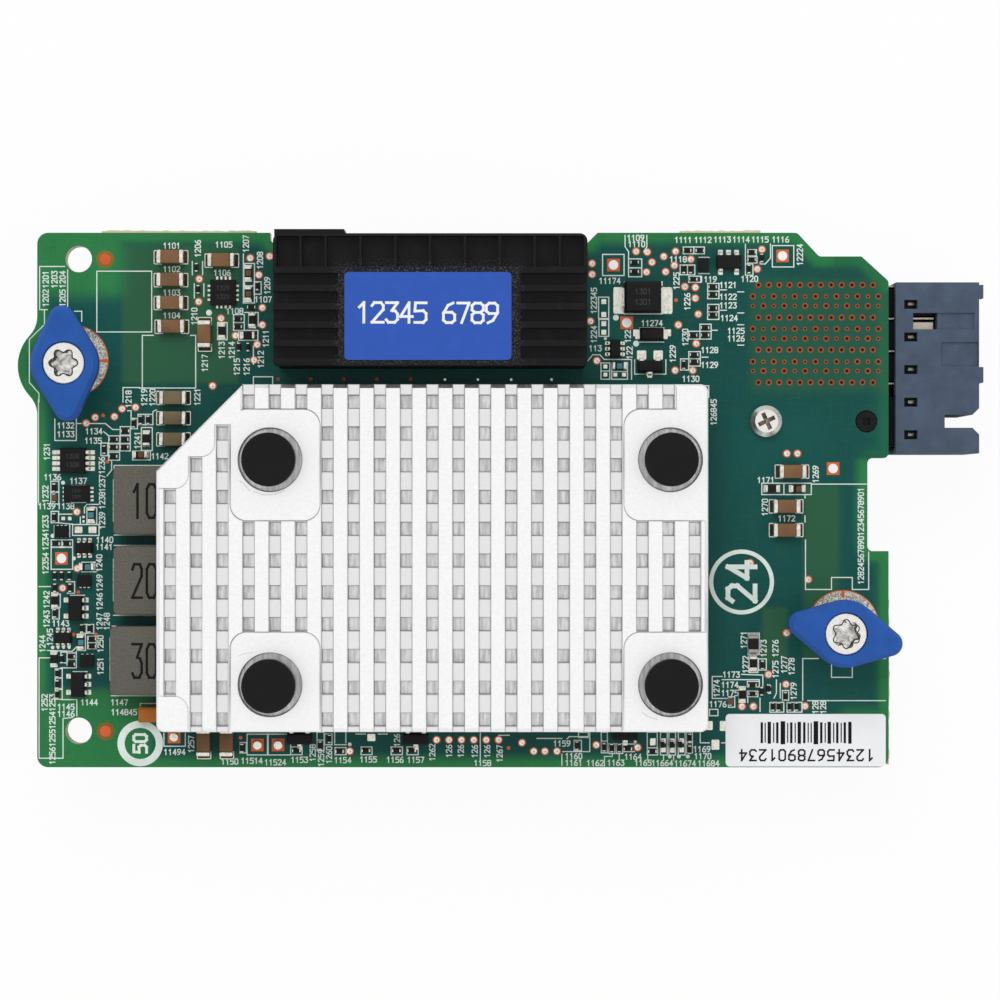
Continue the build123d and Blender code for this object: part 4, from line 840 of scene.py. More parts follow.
VIA_PLACES = [
    (198.5, 278.9), (197.9, 301.6), (249.5, 257.9), (268.9, 256.1), (258.2, 274.8), (261.6, 307.6),
    (261.6, 324.8), (220.3, 318.2), (234.8, 335.4), (256.5, 344.4), (253.3, 360), (211.9, 385.8),
    (76.1, 511.8), (76.5, 568.4), (61.8, 588), (94.4, 417.3), (113.7, 416.6), (121.3, 408.7),
    (134.8, 407.3), (85.5, 423.2), (591.5, 263.4), (591.5, 274.2), (635.5, 251.3), (646.7, 251.9),
    (663.2, 256.4), (651.4, 262.1), (645.9, 272), (665.1, 271.7), (675, 251.3), (673.8, 265.3),
    (690.3, 259.2), (684.3, 286.6), (694.8, 287.3), (694.8, 298.1), (697.7, 314.1), (677.8, 324.8),
    (695.7, 343.5), (674.6, 370.3), (692.2, 370.3), (589.9, 321.1), (596.3, 360.6), (761.4, 249.3),
    (756.7, 268.9), (786.4, 453.5), (796.9, 453.5), (749.7, 562.9), (807.7, 579.5), (786, 633),
    (767.9, 674.5), (785.4, 684.4), (741.4, 706.4), (752.9, 706.4), (804.5, 706.1), (436, 739.9),
    (448.4, 739.9), (460.8, 739.9), (473.2, 739.9), (485.6, 739.9), (498, 739.9), (521.4, 742.7),
    (533.2, 751.3), (544.3, 751.3), (556.4, 751.3), (595.7, 745), (637.1, 747.5), (349.2, 751.3),
]
COPPER_DOTS = [
    (102.4, 415.4), (106.7, 461.7), (77.5, 592.2), (73, 634.5), (95.3, 634.5), (675.5, 300),
    (239.9, 737.8), (508, 748),
]
# Small vias in one row above the heat sink: dark discs of painted shadow for those in the cap's shadow, and
# open ones.
SHADOWED_VIAS = [(x, 379) for x in (277.4, 310, 343.2, 376.3, 410)]
OPEN_VIAS = [(x, 379.5) for x in (444.3, 477.3, 510.6, 551)]
# Rows of the rear connector's hole field: start, step and count along a row, and the rows.
WIDE_FIELD = (757.9, 10.41, 12, (284.9, 317.5, 349.8, 382.4))
CLOSE_FIELD = (752.4, 10.45, 13, (296.3, 305.8, 328.8, 338.5, 361.6, 370.9))
SCREW_PADS = {"left": (71.7, 360.7), "right": (842.5, 626.3)}
TEST_PADS = [(60.7, 558.4), (612.9, 264.9), (626.2, 322.7), (782, 255.8), (832.6, 468.5)]
SOLDERED_PADS = [(173.4, 737), (256.7, 745), (277.4, 745)]
FIDUCIALS = [(104.4, 259.2), (104.9, 731.3)]


def spots(name, places, model, finish, floor=BOARD_TOP):
    """Copies of a small model at photograph places, on a level."""
    matrices = [moved(*on_board(*place), floor) for place in places]
    return keep(repeated(model, name, matrices), name, finish)


def dots(name, places, radius, height, finish, sides=24):
    """Flat discs at photograph places on the board."""
    spots(name, places, new_disc((0, 0), radius, 0, height, sides), finish)


def field_places(start, step, count, rows):
    return [(start + step * index, y) for y in rows for index in range(count)]


class CARD_OT_vias(bpy.types.Operator):
    """Vias, the plated hole field of the rear connector, test pads and fiducials"""

    bl_idname = "card.vias"
    bl_label = "Vias and pads"

    def execute(self, context):
        size = sizes()
        rise = size.copper_height
        dots("via_rings", VIA_PLACES, size.via_radius, rise, "copper")
        dots("via_fills", VIA_PLACES, size.via_fill, rise * 1.4, "tin")
        # Painted shadow: vias in the cap's shadow are dark copper discs.
        dots("shadowed_vias", SHADOWED_VIAS, 0.22 * MM, rise / 2, "field", 12)
        dots("open_vias", OPEN_VIAS, 0.15 * MM, rise, "tin", 12)
        # Painted shade: a small dark disc in each via stands for its shaded hole.
        eyes = [(x + 0.6, y + 0.5) for x, y in VIA_PLACES]
        dots("via_eyes", eyes, 0.1 * MM, rise * 1.6, "dark_tin", 8)
        dots("copper_dots", COPPER_DOTS, 0.22 * MM, rise, "copper", 12)
        close = field_places(*CLOSE_FIELD)
        large = field_places(*WIDE_FIELD) + close[::2]
        small = close[1::2]
        spots("field_rings", large, new_ring(0.35 * MM, 0.2 * MM, rise, 14), "field")
        # Painted shade: black discs stand for the shaded holes of the field.
        dots("field_holes", large, 0.21 * MM, rise / 2, "marking", 12)
        dots("field_small", small, 0.25 * MM, rise, "field", 12)
        # Painted shade: black discs also stand for the shaded holes of the small field pads.
        dots("field_eyes", small, 0.13 * MM, rise * 1.3, "marking", 8)
        square = new_block((-0.74 * MM, -0.74 * MM, 0), (0.74 * MM, 0.74 * MM, rise))
        spots("test_squares", TEST_PADS + SOLDERED_PADS, square, "copper")
        dots("test_holes", TEST_PADS, 0.56 * MM, rise * 1.3, "paper")
        dome = rounded(new_disc((0, 0), 0.56 * MM, 0, 0.25 * MM), 0.2 * MM, 3)
        spots("test_solder", SOLDERED_PADS, dome, "tin")
        dots("fiducial_halos", FIDUCIALS, 1.05 * MM, rise / 2, "halo", 32)
        dots("fiducial_dots", FIDUCIALS, 0.66 * MM, rise, "copper")
        return {"FINISHED"}


# Printed ink

DIGIT_STROKES = {
    "0": [(0.5, 0), (1.5, 0), (2, 0.6), (2, 3.4), (1.5, 4), (0.5, 4), (0, 3.4), (0, 0.6), (0.5, 0)],
    "1": [(0.3, 3.1), (1.1, 4), (1.1, 0)],
    "2": [(0, 3.4), (0.4, 4), (1.6, 4), (2, 3.4), (2, 2.6), (0, 0), (2, 0)],
    "3": [(0, 4), (2, 4), (1, 2.4), (1.6, 2.3), (2, 1.7), (2, 0.6), (1.5, 0), (0.4, 0), (0, 0.5)],
    "4": [(1.5, 0), (1.5, 4), (0, 1.2), (2.1, 1.2)],
    "5": [(2, 4), (0.1, 4), (0, 2.3), (1.5, 2.4), (2, 1.8), (2, 0.6), (1.5, 0), (0, 0)],
    "6": [(1.7, 4), (0.8, 3.5), (0, 1.9), (0, 0.5), (0.5, 0), (1.5, 0), (2, 0.5), (2, 1.6), (1.5, 2.1),
          (0.1, 2.1)],
    "7": [(0, 4), (2, 4), (0.7, 0)],
    "8": [(0.5, 2.1), (0, 1.6), (0, 0.5), (0.5, 0), (1.5, 0), (2, 0.5), (2, 1.6), (1.5, 2.1), (0.5, 2.1),
          (0, 2.6), (0, 3.5), (0.5, 4), (1.5, 4), (2, 3.5), (2, 2.6), (1.5, 2.1)],
    "9": [(0.3, 0), (1.2, 0.5), (2, 2.1), (2, 3.5), (1.5, 4), (0.5, 4), (0, 3.5), (0, 2.4), (0.5, 1.9),
          (1.9, 1.9)],
}
# Places of the running numbers, in photograph pixels: middle of each number, and how many digits.
LEVEL_NUMBERS = [
    (171, 245.7, 4), (171, 269, 4), (171, 292.5, 4), (171, 315.4, 4), (223.2, 244.5, 4), (221.5, 272.7, 4),
    (262.5, 299.3, 4), (234, 311, 4), (635.1, 237.8, 4), (636, 244, 4), (682.7, 239.8, 4), (702.4, 239.8, 4),
    (721.8, 239.4, 4), (740.6, 239.4, 4), (759.6, 239.4, 4), (780, 239.4, 4), (609.2, 280.8, 5),
    (677.6, 259.2, 4), (707.6, 279.2, 4), (749, 278.8, 4), (727.6, 284.9, 4), (727.6, 296.7, 4),
    (727.6, 305.3, 4), (728.6, 318, 4), (735.5, 330.8, 4), (735.5, 338.4, 4), (651.4, 323.1, 5),
    (709, 350, 4), (709, 364.9, 4), (690.2, 378.8, 4), (594.7, 348.2, 3), (65, 425.5, 4), (65, 434.1, 4),
    (93.1, 431.2, 4), (92.5, 440.7, 4), (51.8, 477.1, 4), (77.6, 480.9, 4), (65, 506.2, 4), (46, 506.2, 4),
    (104, 539.8, 4), (103.4, 546.9, 4), (159.1, 456.2, 4), (59.9, 623.4, 4), (88.5, 702.4, 4),
    (65.3, 706.9, 4), (65.3, 713.8, 4), (118.7, 702.4, 4), (123.4, 712.2, 6), (173.9, 752.1, 5),
    (229, 761.6, 4), (251.1, 760.8, 5), (274.6, 762.4, 5), (298.8, 759.9, 4), (342.1, 760.2, 4),
    (367.7, 759.5, 4), (394.4, 759.8, 4), (415.1, 759.9, 4), (481.9, 763.1, 4), (561.3, 743.6, 4),
    (573.1, 756.2, 4), (573.1, 762.8, 4), (594.6, 763.1, 4), (615.3, 762.8, 4), (632.5, 756.8, 4),
    (642.5, 762.8, 4), (661.8, 763.1, 5), (684.6, 763.4, 5), (708, 763.4, 5), (701.4, 749.2, 4),
    (702.2, 756.2, 4), (765.3, 480.1, 4), (786.1, 518.4, 4), (730.7, 674.6, 4), (729.3, 684.9, 4),
    (729.3, 693, 4), (717.4, 704.2, 4),
]
UPRIGHT_NUMBERS = [
    (44.9, 279.4, 4), (44.9, 298, 4), (53.7, 279.4, 4), (61.8, 279.4, 4), (61.8, 298, 4), (197.1, 248.5, 4),
    (245.2, 243.7, 4), (259.3, 260.3, 4), (266.6, 285.5, 4), (193.6, 316.2, 4), (265.1, 338.6, 4),
    (260.1, 359.3, 4), (221, 350.2, 4), (231, 350.2, 4), (236.1, 366.8, 4), (245.9, 366.8, 4),
    (204.1, 363, 4), (127.8, 399, 4), (143.5, 397.4, 4), (151.8, 397.4, 4), (196.6, 397, 4),
    (799.4, 254.7, 5), (593.3, 300.6, 6), (593.3, 334.3, 4), (675.9, 280.8, 4), (686.7, 301.6, 4),
    (627.3, 336.3, 3), (629, 352.7, 3), (672.2, 353.7, 4), (684.7, 337.3, 4), (46.1, 451.6, 4),
    (44.7, 494.1, 4), (44.7, 523.9, 4), (44.7, 541.7, 4), (44.7, 563.5, 5), (101.1, 465.4, 4),
    (101.4, 483.2, 4), (101.4, 500.5, 4), (101.4, 520.5, 4), (98.5, 563, 4), (136.7, 440.2, 4),
    (45.8, 599.6, 4), (45.8, 619, 4), (41.6, 643.8, 4), (49.1, 637.2, 4), (98.8, 601.6, 4),
    (98.8, 621.5, 4), (106, 621.5, 4), (98.8, 583, 4), (99.7, 643.8, 4), (99.7, 666.2, 4), (43.8, 702.7, 4),
    (51.6, 702.7, 4), (51.6, 720.3, 4), (51.6, 738, 4), (51.6, 755.8, 4), (190.5, 744.2, 4), (312, 752.9, 4),
    (320.4, 758, 4), (328.4, 755, 4), (396.4, 740.4, 3), (431.6, 752.4, 4), (448.4, 751.1, 3),
    (460.2, 751.1, 3), (474.1, 751.4, 3), (486.6, 751.4, 3), (499, 753.6, 4), (713.1, 412.2, 6),
    (815.1, 474.2, 4), (764.4, 507.3, 4), (743.3, 640, 4), (745.1, 664.5, 4), (763, 648.4, 4),
    (716, 688.4, 4), (774.9, 669.4, 4), (774.9, 648.4, 4), (783.7, 664.6, 4), (791, 666.6, 4),
    (793.1, 691.2, 4), (814.9, 707.5, 3), (822.6, 707.5, 3), (860.4, 536, 22),
]
# White boxes round the chips: left, top, right, bottom.
INK_BOXES = [
    (96.1, 271.1, 151, 331.9), (243.9, 263.4, 253.8, 285.8), (243.9, 285.8, 253.8, 302.9),
    (253.5, 281.7, 260.5, 294.1), (216.9, 322.5, 226.5, 339.7), (232.8, 314.5, 243.6, 322.5),
    (232.8, 322.5, 243.6, 330.3), (238, 330.3, 257.2, 340.2), (252.7, 376.7, 272, 386),
    (602, 254.3, 623.5, 275.5), (628, 258.8, 641.2, 267.8), (628, 267.8, 641.2, 276.7),
    (598, 297.1, 608.2, 318.4), (598.4, 319.4, 608.2, 336.3), (682.7, 246.9, 693.3, 253.7),
    (693.3, 246.9, 703.9, 253.7), (679.6, 264.9, 687, 274.7), (687, 264.9, 694.3, 274.7),
    (688.2, 276.1, 700.4, 282.2), (707.1, 283.3, 718.4, 291), (707.1, 291, 718.4, 298.6),
    (707.1, 304.3, 718.4, 311.8), (707.1, 311.8, 718.4, 319.4), (699.4, 324.1, 710.6, 331.2),
    (688.2, 331.2, 699.4, 339), (699.4, 331.2, 710.6, 339), (688.2, 351.6, 699.8, 358.8),
    (688.2, 358.8, 699.8, 366), (680, 358.8, 688.2, 370), (747.3, 249.6, 755.9, 255.7),
    (747.3, 256.7, 756.5, 262.9), (744.9, 263.9, 752.4, 275.1), (771.8, 245.5, 793.3, 266.9),
    (600.4, 362.9, 609.2, 371), (600.4, 371, 609.2, 379.2), (611.2, 362.9, 626.9, 371.4),
    (611.2, 371.4, 626.9, 379.2), (119.5, 426.6, 129.6, 435), (108, 435.8, 118.9, 443.3),
    (119.5, 435.8, 129.6, 443.3), (108, 443.9, 118.9, 450.9), (119.5, 443.9, 129.6, 450.9),
    (108, 452.2, 118.9, 460.2), (100.2, 443, 107.1, 455.7), (130.4, 418.4, 136.7, 428.7),
    (137.3, 414.3, 144.8, 424.7), (144.8, 414.3, 152.2, 424.7), (131.9, 451.1, 149.7, 459.9),
    (140.7, 427.5, 151.6, 450.5), (50.1, 481.2, 58.1, 491.8), (50.1, 492.4, 58.1, 503.9),
    (86.2, 507.5, 96, 524.2), (50.4, 511.3, 57.9, 522.8), (50.4, 539.8, 61.2, 546.7),
    (61.2, 539.8, 71.9, 546.7), (50.4, 547.5, 71.9, 569.3), (51.1, 594.1, 59.5, 607.4),
    (51.9, 608.5, 58.5, 619), (79.8, 624.4, 85.6, 633.4), (86.4, 624.4, 93, 633.4),
    (77.3, 634.7, 84.7, 650.5), (86.9, 636.4, 95.5, 642.7), (86.9, 642.7, 95.5, 648.8),
    (60.2, 652.1, 66.2, 662.9), (66.8, 653, 75.6, 659.3), (66.8, 659.3, 75.6, 665.4),
    (54.5, 668.7, 61.5, 677.8), (54.5, 678.2, 61.5, 688.6), (54.5, 689.5, 61.5, 699.4),
    (239.3, 742.5, 245.6, 753), (246.4, 734.2, 266.8, 755), (267.5, 734.2, 290, 755),
    (290, 747, 301.4, 754.8), (316.4, 732.3, 323.4, 740.1), (316.4, 740.1, 323.4, 750.7),
    (324, 734.1, 331.4, 744.8), (334.3, 747.7, 345.4, 754.8), (360.4, 747, 371.4, 754.8),
    (390.5, 747, 401.8, 754.8), (406.3, 747, 417.6, 754.8), (573.5, 740.4, 580.9, 750.7),
    (577.9, 732.3, 587.7, 737.5), (600.7, 732.3, 606.8, 741.1), (600.7, 741.1, 606.8, 752.9),
    (608.3, 743.8, 614.4, 753.6), (615.9, 743.8, 622.2, 753.6), (646.7, 732.3, 656.7, 747.7),
    (646.7, 748.2, 657.1, 755.1), (659.9, 732.3, 666.7, 755.1), (668.4, 732.3, 675, 755.1),
    (677.7, 732.3, 684.6, 755.1), (686, 732.3, 691.9, 742.6), (686, 742.6, 691.9, 752.9),
    (761.3, 483.2, 783.4, 494.6), (783.4, 483.2, 810.8, 494.6), (747.5, 633.2, 758.8, 654.7),
    (748.5, 658, 757.4, 672.5), (746.8, 681.4, 758.8, 687), (746.8, 691.2, 757.4, 696.8),
    (727.9, 696.8, 734.2, 707.3), (709, 709.4, 717.4, 715.8), (758, 658.9, 765.8, 670.1),
    (769.3, 702.4, 775.9, 712.2), (776.7, 702.4, 783.3, 712.2), (786.5, 702.4, 793.8, 712.2),
    (794.5, 702.4, 801.5, 712.2), (781.9, 690.5, 788.2, 700.3),
]
INK_LINES = [
    [(64, 266.4), (38.9, 266.4), (38.9, 309.6), (46.5, 309.6)], [(66.9, 269.8), (66.9, 306.2)],
    [(73.9, 311.2), (81, 311.2), (81, 321.2)],
    [(43.7, 309.6), (43.7, 324.5), (28.6, 339.4), (28.6, 382.5), (38.2, 393.3), (38.2, 402)],
    [(152.7, 335.3), (141.6, 335.3), (141.6, 388)], [(190, 335.3), (195, 335.3), (195, 388), (138.6, 388)],
    [(138.6, 387.5), (122.3, 387.5), (122.3, 402)], [(191.6, 261.5), (191.6, 274.7)],
    [(201.9, 261.5), (201.9, 274.7)], [(193.6, 283.8), (193.6, 298)], [(203.2, 283.8), (203.2, 296.3)],
    [(242.7, 254), (242.7, 302.9)], [(243.9, 312.4), (257.5, 312.4), (257.5, 326.1)],
    [(248, 313.7), (248, 326)],
    [(236.9, 341.9), (236.9, 351)], [(252.7, 346), (252.7, 364.3)],
    [(624.5, 235.3), (624.5, 246.5), (628, 251.6), (628, 258.8)],
    [(646.3, 235.3), (646.3, 246.5), (643.3, 251.6)],
    [(623.9, 285.3), (623.9, 281.8), (661.6, 281.8), (661.6, 285.3)], [(623.9, 313.9), (661.6, 313.9)],
    [(639.2, 331), (639.2, 327.8), (663.3, 327.8), (663.3, 331.2)], [(639.2, 342), (663.3, 342)],
    [(698.4, 257.3), (708.6, 257.3)], [(698.4, 273.5), (708.6, 273.5)],
    [(634.1, 359.8), (634.1, 374.1), (645.3, 374.1)], [(665.3, 359.8), (665.3, 374.1), (653.5, 374.1)],
    [(744.9, 244.1), (744.9, 263.9)],
    [(759.6, 255.7), (759.6, 263.9), (764.7, 263.9), (770, 258), (770, 244)],
    [(587.1, 360.8), (592.2, 354.7), (599.4, 354.7), (603.5, 359.4), (631, 359.4), (631, 379.2)],
    [(702.4, 385.7), (708.2, 385.7), (708.2, 397.6)],
    [(54.1, 419), (54.1, 440.5), (75.6, 440.5), (75.6, 419)], [(75.9, 423.5), (80.5, 423.5)],
    [(86, 423.5), (104.6, 423.5), (112, 429.5), (118.4, 429.5)], [(102.9, 431.6), (108, 435.8)],
    [(127, 410.7), (130.4, 410.7), (130.4, 418.4)], [(152.2, 414.1), (152.2, 411.5), (155.7, 409.8)],
    [(110.9, 460.5), (110.9, 470), (106.3, 475.7)], [(113.4, 472), (113.4, 465.4), (162, 465.4)],
    [(113.4, 535), (158, 535)], [(70.2, 485.5), (85.1, 485.5)], [(70.2, 502.5), (85.1, 502.5)],
    [(97.7, 504.4), (86.2, 504.4), (83.7, 507.3), (83.7, 513)], [(57.9, 514.2), (71.3, 514.2)],
    [(57.9, 522.8), (71.9, 524.2), (71.9, 535.4), (98.3, 535.4), (98.3, 524.5), (71.9, 524.5)],
    [(79.6, 517), (79.6, 524)], [(53.5, 525.7), (53.5, 536.6)], [(69, 525), (69, 536.6)],
    [(81.1, 562.2), (94.8, 562.2)], [(81.1, 571.8), (95.4, 571.8)], [(113.4, 545.4), (158, 545.4)],
    [(37.7, 400), (37.7, 503)], [(38.3, 586.6), (49.9, 586.6)],
    [(65.7, 581.7), (73.9, 581.7), (73.9, 593.3), (66.5, 593.3)], [(69.8, 595.3), (83.9, 595.3)],
    [(46.6, 650.5), (71.5, 651.3), (76.4, 646.3)], [(50.7, 652.1), (50.7, 666.2)],
    [(75.6, 651.3), (75.6, 667.9), (60.2, 667.9)], [(61.5, 699.7), (76.1, 699.7), (76.1, 716)],
    [(72.3, 671.7), (86.4, 671.7)],
    [(50.7, 657.9), (38.3, 657.9), (38.3, 758.3), (62.3, 758.3), (62.3, 718.5), (71.5, 717.6)],
    [(111.3, 626.1), (158, 626.1)], [(110.4, 695.8), (158, 695.8)], [(112.9, 615.3), (158, 615.3)],
    [(158, 703.5), (139.5, 703.5), (139.5, 722), (158, 722)],
    [(163.2, 733.4), (163.2, 746.3), (184.6, 746.3), (184.6, 733.4)], [(334, 744.8), (345.7, 744.8)],
    [(334, 732.5), (334, 743)], [(345.2, 732.5), (345.2, 743)], [(479.7, 733.1), (479.7, 760.2)],
    [(355.3, 734.1), (364.8, 734.1)], [(377.7, 734.1), (386.8, 734.1)], [(498.3, 735.3), (508.6, 735.3)],
    [(536.4, 738.5), (561.3, 738.5)], [(566.5, 738.9), (568.7, 736.7), (587.7, 736.7)],
    [(589.2, 732.3), (589.2, 751.7), (562.4, 751.7)], [(622.9, 744.1), (634, 744.1)],
    [(622.9, 751.7), (634, 751.7)], [(603.9, 766), (603.9, 756.5), (611.7, 756.5), (611.7, 754.3)],
    [(618.6, 760.2), (618.6, 754.3)], [(647.2, 760.2), (647.2, 755.1)], [(663, 760.2), (663, 755.1)],
    [(673.1, 760.2), (673.1, 755.1)], [(561.3, 765.3), (561.3, 754.3)],
    [(699.7, 733), (699.7, 742.9), (708.8, 742.9)], [(721.2, 742.9), (725.6, 742.9)],
    [(810.8, 484.1), (865.7, 484.1)], [(804.5, 495.2), (804.5, 498)], [(804.5, 516), (804.5, 522)],
    [(805, 540), (805, 589.5), (831, 589.5), (831, 577.5), (851.8, 577.5), (851.8, 589.5), (868.2, 589.5),
     (868.2, 552)],
    [(741.2, 674.4), (762.3, 675.1), (762.3, 687)],
    [(721.6, 676.5), (711.7, 676.5), (711.7, 698.5), (727.2, 698.5)],
    [(721.6, 679.7), (758.8, 679.7), (758.8, 687)], [(738.4, 688.4), (738.4, 701.7)],
    [(747.2, 696.8), (747.2, 702.4)], [(759.5, 698.2), (759.5, 711.5)],
    [(775.9, 680), (775.9, 693.3), (773.5, 698.2)], [(779.8, 683.5), (779.8, 698.2)],
    [(802.2, 700.3), (802.2, 658.6), (817.7, 658.6)],
    [(831, 663), (831, 677.4), (851.8, 677.4), (851.8, 663)],
    [(807.2, 700.7), (885, 700.7)], [(871, 658.6), (885, 658.6)],
]
INK_DASHES = [
    (722.9, 289.8), (740.2, 291.8), (722.9, 310.2), (740.2, 312.9), (740.2, 324.7), (713.7, 330.2),
    (740.2, 345.1), (704.5, 357.1),
]
INK_DOTS = [
    (615.3, 317.6, 3), (635.5, 343.5, 3), (208.3, 312.6, 3), (62.3, 482.7, 2), (52, 535.8, 2.2),
    (73.2, 558.4, 2), (51.9, 647.5, 1.8), (349.1, 744.4, 1.9), (634.7, 741.9, 1.6), (669.2, 756.5, 2),
    (678.3, 756.5, 2), (687.2, 756.5, 2), (604.8, 338.6, 1.6),
]
# Plain rings and numbers in the two round places: middle, outer and inner radius.
INK_RINGS = [(741, 582, 32.5, 28.3), (139.5, 743.5, 22.8, 15.6)]
# Number in each ring, its height and its line width.
RING_NUMBERS = [("24", 3.2 * MM, 0.55 * MM), ("50", 1.5 * MM, 0.32 * MM)]


def write_numbers(name, labels, height, line, thickness, spacing=0.84, wide=1.1):
    """Numbers lying at z = 0 at places in metres; every digit is modelled once and copied."""
    places = {digit: [] for digit in DIGIT_STROKES}
    for x, y, turn, text in labels:
        for index, digit in enumerate(text):
            step = (index - (len(text) - 1) / 2) * height * spacing
            if digit in places:
                places[digit].append(moved(x + step * math.cos(turn), y + step * math.sin(turn), 0, turn))
    unit = height / 4
    parts = []
    for digit, matrices in places.items():
        if matrices:
            run = [((across - 1) * unit * wide, (up - 2) * unit) for across, up in DIGIT_STROKES[digit]]
            parts.append(repeated(strips("digit", [run], line, 0, thickness), "digit", matrices))
    return joined(parts, name)


def running_numbers(places, turn, first):
    """Plain running numbers for photograph places."""
    labels = []
    for index, (x, y, count) in enumerate(places):
        text = str(first + index)
        while len(text) < count:
            text += str(len(text) % 10)
        labels.append((*on_board(x, y), turn, text[:count]))
    return labels


class CARD_OT_ink(bpy.types.Operator):
    """White printing: chip boxes, outlines, running numbers, pin dots and two plain rings"""

    bl_idname = "card.ink"
    bl_label = "Printed ink"

    def execute(self, context):
        size = sizes()
        thick = size.ink_height
        runs = [in_metres(rectangle(*box)) for box in INK_BOXES] + [in_metres(run) for run in INK_LINES]
        runs += [in_metres([(x - 3, y), (x + 3, y)]) for x, y in INK_DASHES]
        lines = strips("lines", runs, size.line_width, 0, thick)
        labels = running_numbers(LEVEL_NUMBERS, 0, 1101)
        labels += running_numbers(UPRIGHT_NUMBERS, math.pi / 2, 1201)
        numbers = write_numbers("numbers", labels, size.digit_height, size.digit_line, thick)
        parts = [lines, numbers]
        for x, y, radius in INK_DOTS:
            parts.append(new_disc(on_board(x, y), radius * PHOTO_SCALE, 0, thick, 12))
        for (x, y, radius, hole), (text, height, line) in zip(INK_RINGS, RING_NUMBERS):
            ring = new_ring(radius * PHOTO_SCALE, hole * PHOTO_SCALE, thick, 64)
            ring.data.transform(moved(*on_board(x, y), 0))
            number = (*on_board(x, y), math.pi / 2, text)
            parts += [ring, write_numbers("ring_number", [number], height, line, thick)]
        ink = raised(joined(parts, "board_ink"), BOARD_TOP)
        keep(ink, "board_ink", "ink")
        return {"FINISHED"}


# Wide places: middle, width and height in photograph pixels.
TINNED_PADS = [
    (77.8, 529.8, 8, 6.6), (91.8, 529.8, 8, 6.6), (603.2, 301.6, 5, 5), (603.2, 314.4, 5, 5),
    (603.2, 323.6, 5, 5), (603.2, 332.2, 5, 5), (604.8, 366.5, 4, 4), (604.8, 374.6, 4, 4),
    (614.8, 374.6, 4, 4), (623.4, 374.6, 4, 4), (714.9, 744.8, 8, 10), (708.2, 725.6, 8, 9),
    (723.2, 726, 8, 10), (663, 740.8, 4.6, 5), (663, 749.9, 4.6, 5), (671.8, 741.1, 4.6, 5),
    (671.8, 750.2, 4.6, 5), (681.2, 740.8, 4.6, 5), (681.2, 749.9, 4.6, 5), (652.3, 741.9, 5.6, 7.3),
    (370.7, 737.5, 8, 7.3), (62.5, 518.5, 3.6, 3.6), (69, 518.5, 3.6, 3.6), (82.8, 517, 2.4, 2.4),
    (82.8, 521.4, 2.4, 2.4), (769, 686.4, 3, 3), (769, 692.4, 3, 3),
    (618.5, 300.5, 12, 27), (666, 300.5, 12, 27),
    (641, 355, 9.5, 9.5), (657.6, 355, 9.5, 9.5), (649, 371.5, 6, 9), (634.8, 332.8, 4.5, 7),
    (668, 332.8, 5, 7),
]
# Groups of pads round the flat packages: columns, rows, and whether the pads stand upright.
SMALL_PADS = [
    ((216.5, 220.7, 225, 229.3), (278, 306.6), True),
    ((208.6, 236.4), (285.8, 290.3, 295.1, 299.6), False),
    ((63.6, 91.2), (488, 492, 496.4, 500.2), False),
    ((57, 61, 65), (526.6, 536.2), True),
    ((57.4, 62.8, 68.5), (629.3, 647.2), True),
    ((81.7, 86.7, 91.4), (655.5, 664.2), True),
    ((606.1, 620.8), (343.5, 349.2, 354.7), False),
    ((79.8, 83.9, 88), (586.3,), True),
]
SMALL_PAD_SIDES = (2.2, 3.4)


class CARD_OT_pads(bpy.types.Operator):
    """Tinned pads: bare ones, those round the flat packages and under each lead"""

    bl_idname = "card.pads"
    bl_label = "Tinned pads"

    def execute(self, context):
        thick = sizes().pad_height
        pads = list(TINNED_PADS)
        for columns, rows, upright in SMALL_PADS:
            sides = SMALL_PAD_SIDES if upright else SMALL_PAD_SIDES[::-1]
            pads += [(x, y, *sides) for x in columns for y in rows]
        places = []
        for x, y, wide, high in pads:
            places.append(moved(*on_board(x, y), 0, 0, (wide * PHOTO_SCALE, high * PHOTO_SCALE, thick)))
        for node in ("package_leads", "power_diode_leads", "small_diode_leads"):
            for low, high in solid_boxes(node):
                centre = (low + high) / 2
                grown = high - low + Vector((0.16, 0.16, 0)) * MM
                places.append(moved(centre.x, centre.y, 0, 0, (grown.x, grown.y, thick)))
        plate = rounded(unit_block(), 0.12)
        tinned = raised(repeated(plate, "tinned_pads", places), BOARD_TOP)
        keep(tinned, "tinned_pads", "tin")
        return {"FINISHED"}


# Radii of the copper rim and of the tinned ring inside it, and the way from each screw to its notch.
RIM_RADII = (4.27 * MM, 4.1 * MM)
TINNED_RADII = (4.16 * MM, 2.75 * MM)
NOTCH_REACH = 3.8 * MM
NOTCH_WAYS = {"left": (1, 0), "right": (0, 1)}


class CARD_OT_screw_rings(bpy.types.Operator):
    """Tinned ring on the board round each captive screw, with its copper rim and copper notch"""

    bl_idname = "card.screw_rings"
    bl_label = "Screw rings"

    def execute(self, context):
        thick = sizes().copper_height
        for side, (x, y) in SCREW_PADS.items():
            rim = new_ring(*RIM_RADII, thick, 96)
            tinned = rough_ring(*TINNED_RADII, thick * 2.2)
            way = Vector(NOTCH_WAYS[side])
            middle = way * NOTCH_REACH
            spread = (way * 0.45 + way.yx * 0.18) * MM
            notch = new_block((*(middle - spread), 0), (*(middle + spread), thick * 3.4))
            for piece, name, slot, finish in (
                (joined([rim, notch], "rim"), f"{side}_ring_rim", "contact_metal", "copper"),
                (tinned, f"{side}_ring_tin", "tin", "rough_tin"),
            ):
                piece.data.transform(moved(*on_board(x, y), BOARD_TOP))
                keep(piece, name, finish)
        return {"FINISHED"}


def rough_ring(radius, hole, thickness):
    """Ring of solder with an uneven top."""
    piece = subdivided(new_ring(radius, hole, thickness, 160), 5)
    for vertex in piece.data.vertices:
        if vertex.co.z > thickness / 2:
            vertex.co.z += 0.03 * MM * mathutils.noise.noise(vertex.co / (0.16 * MM))
    return piece


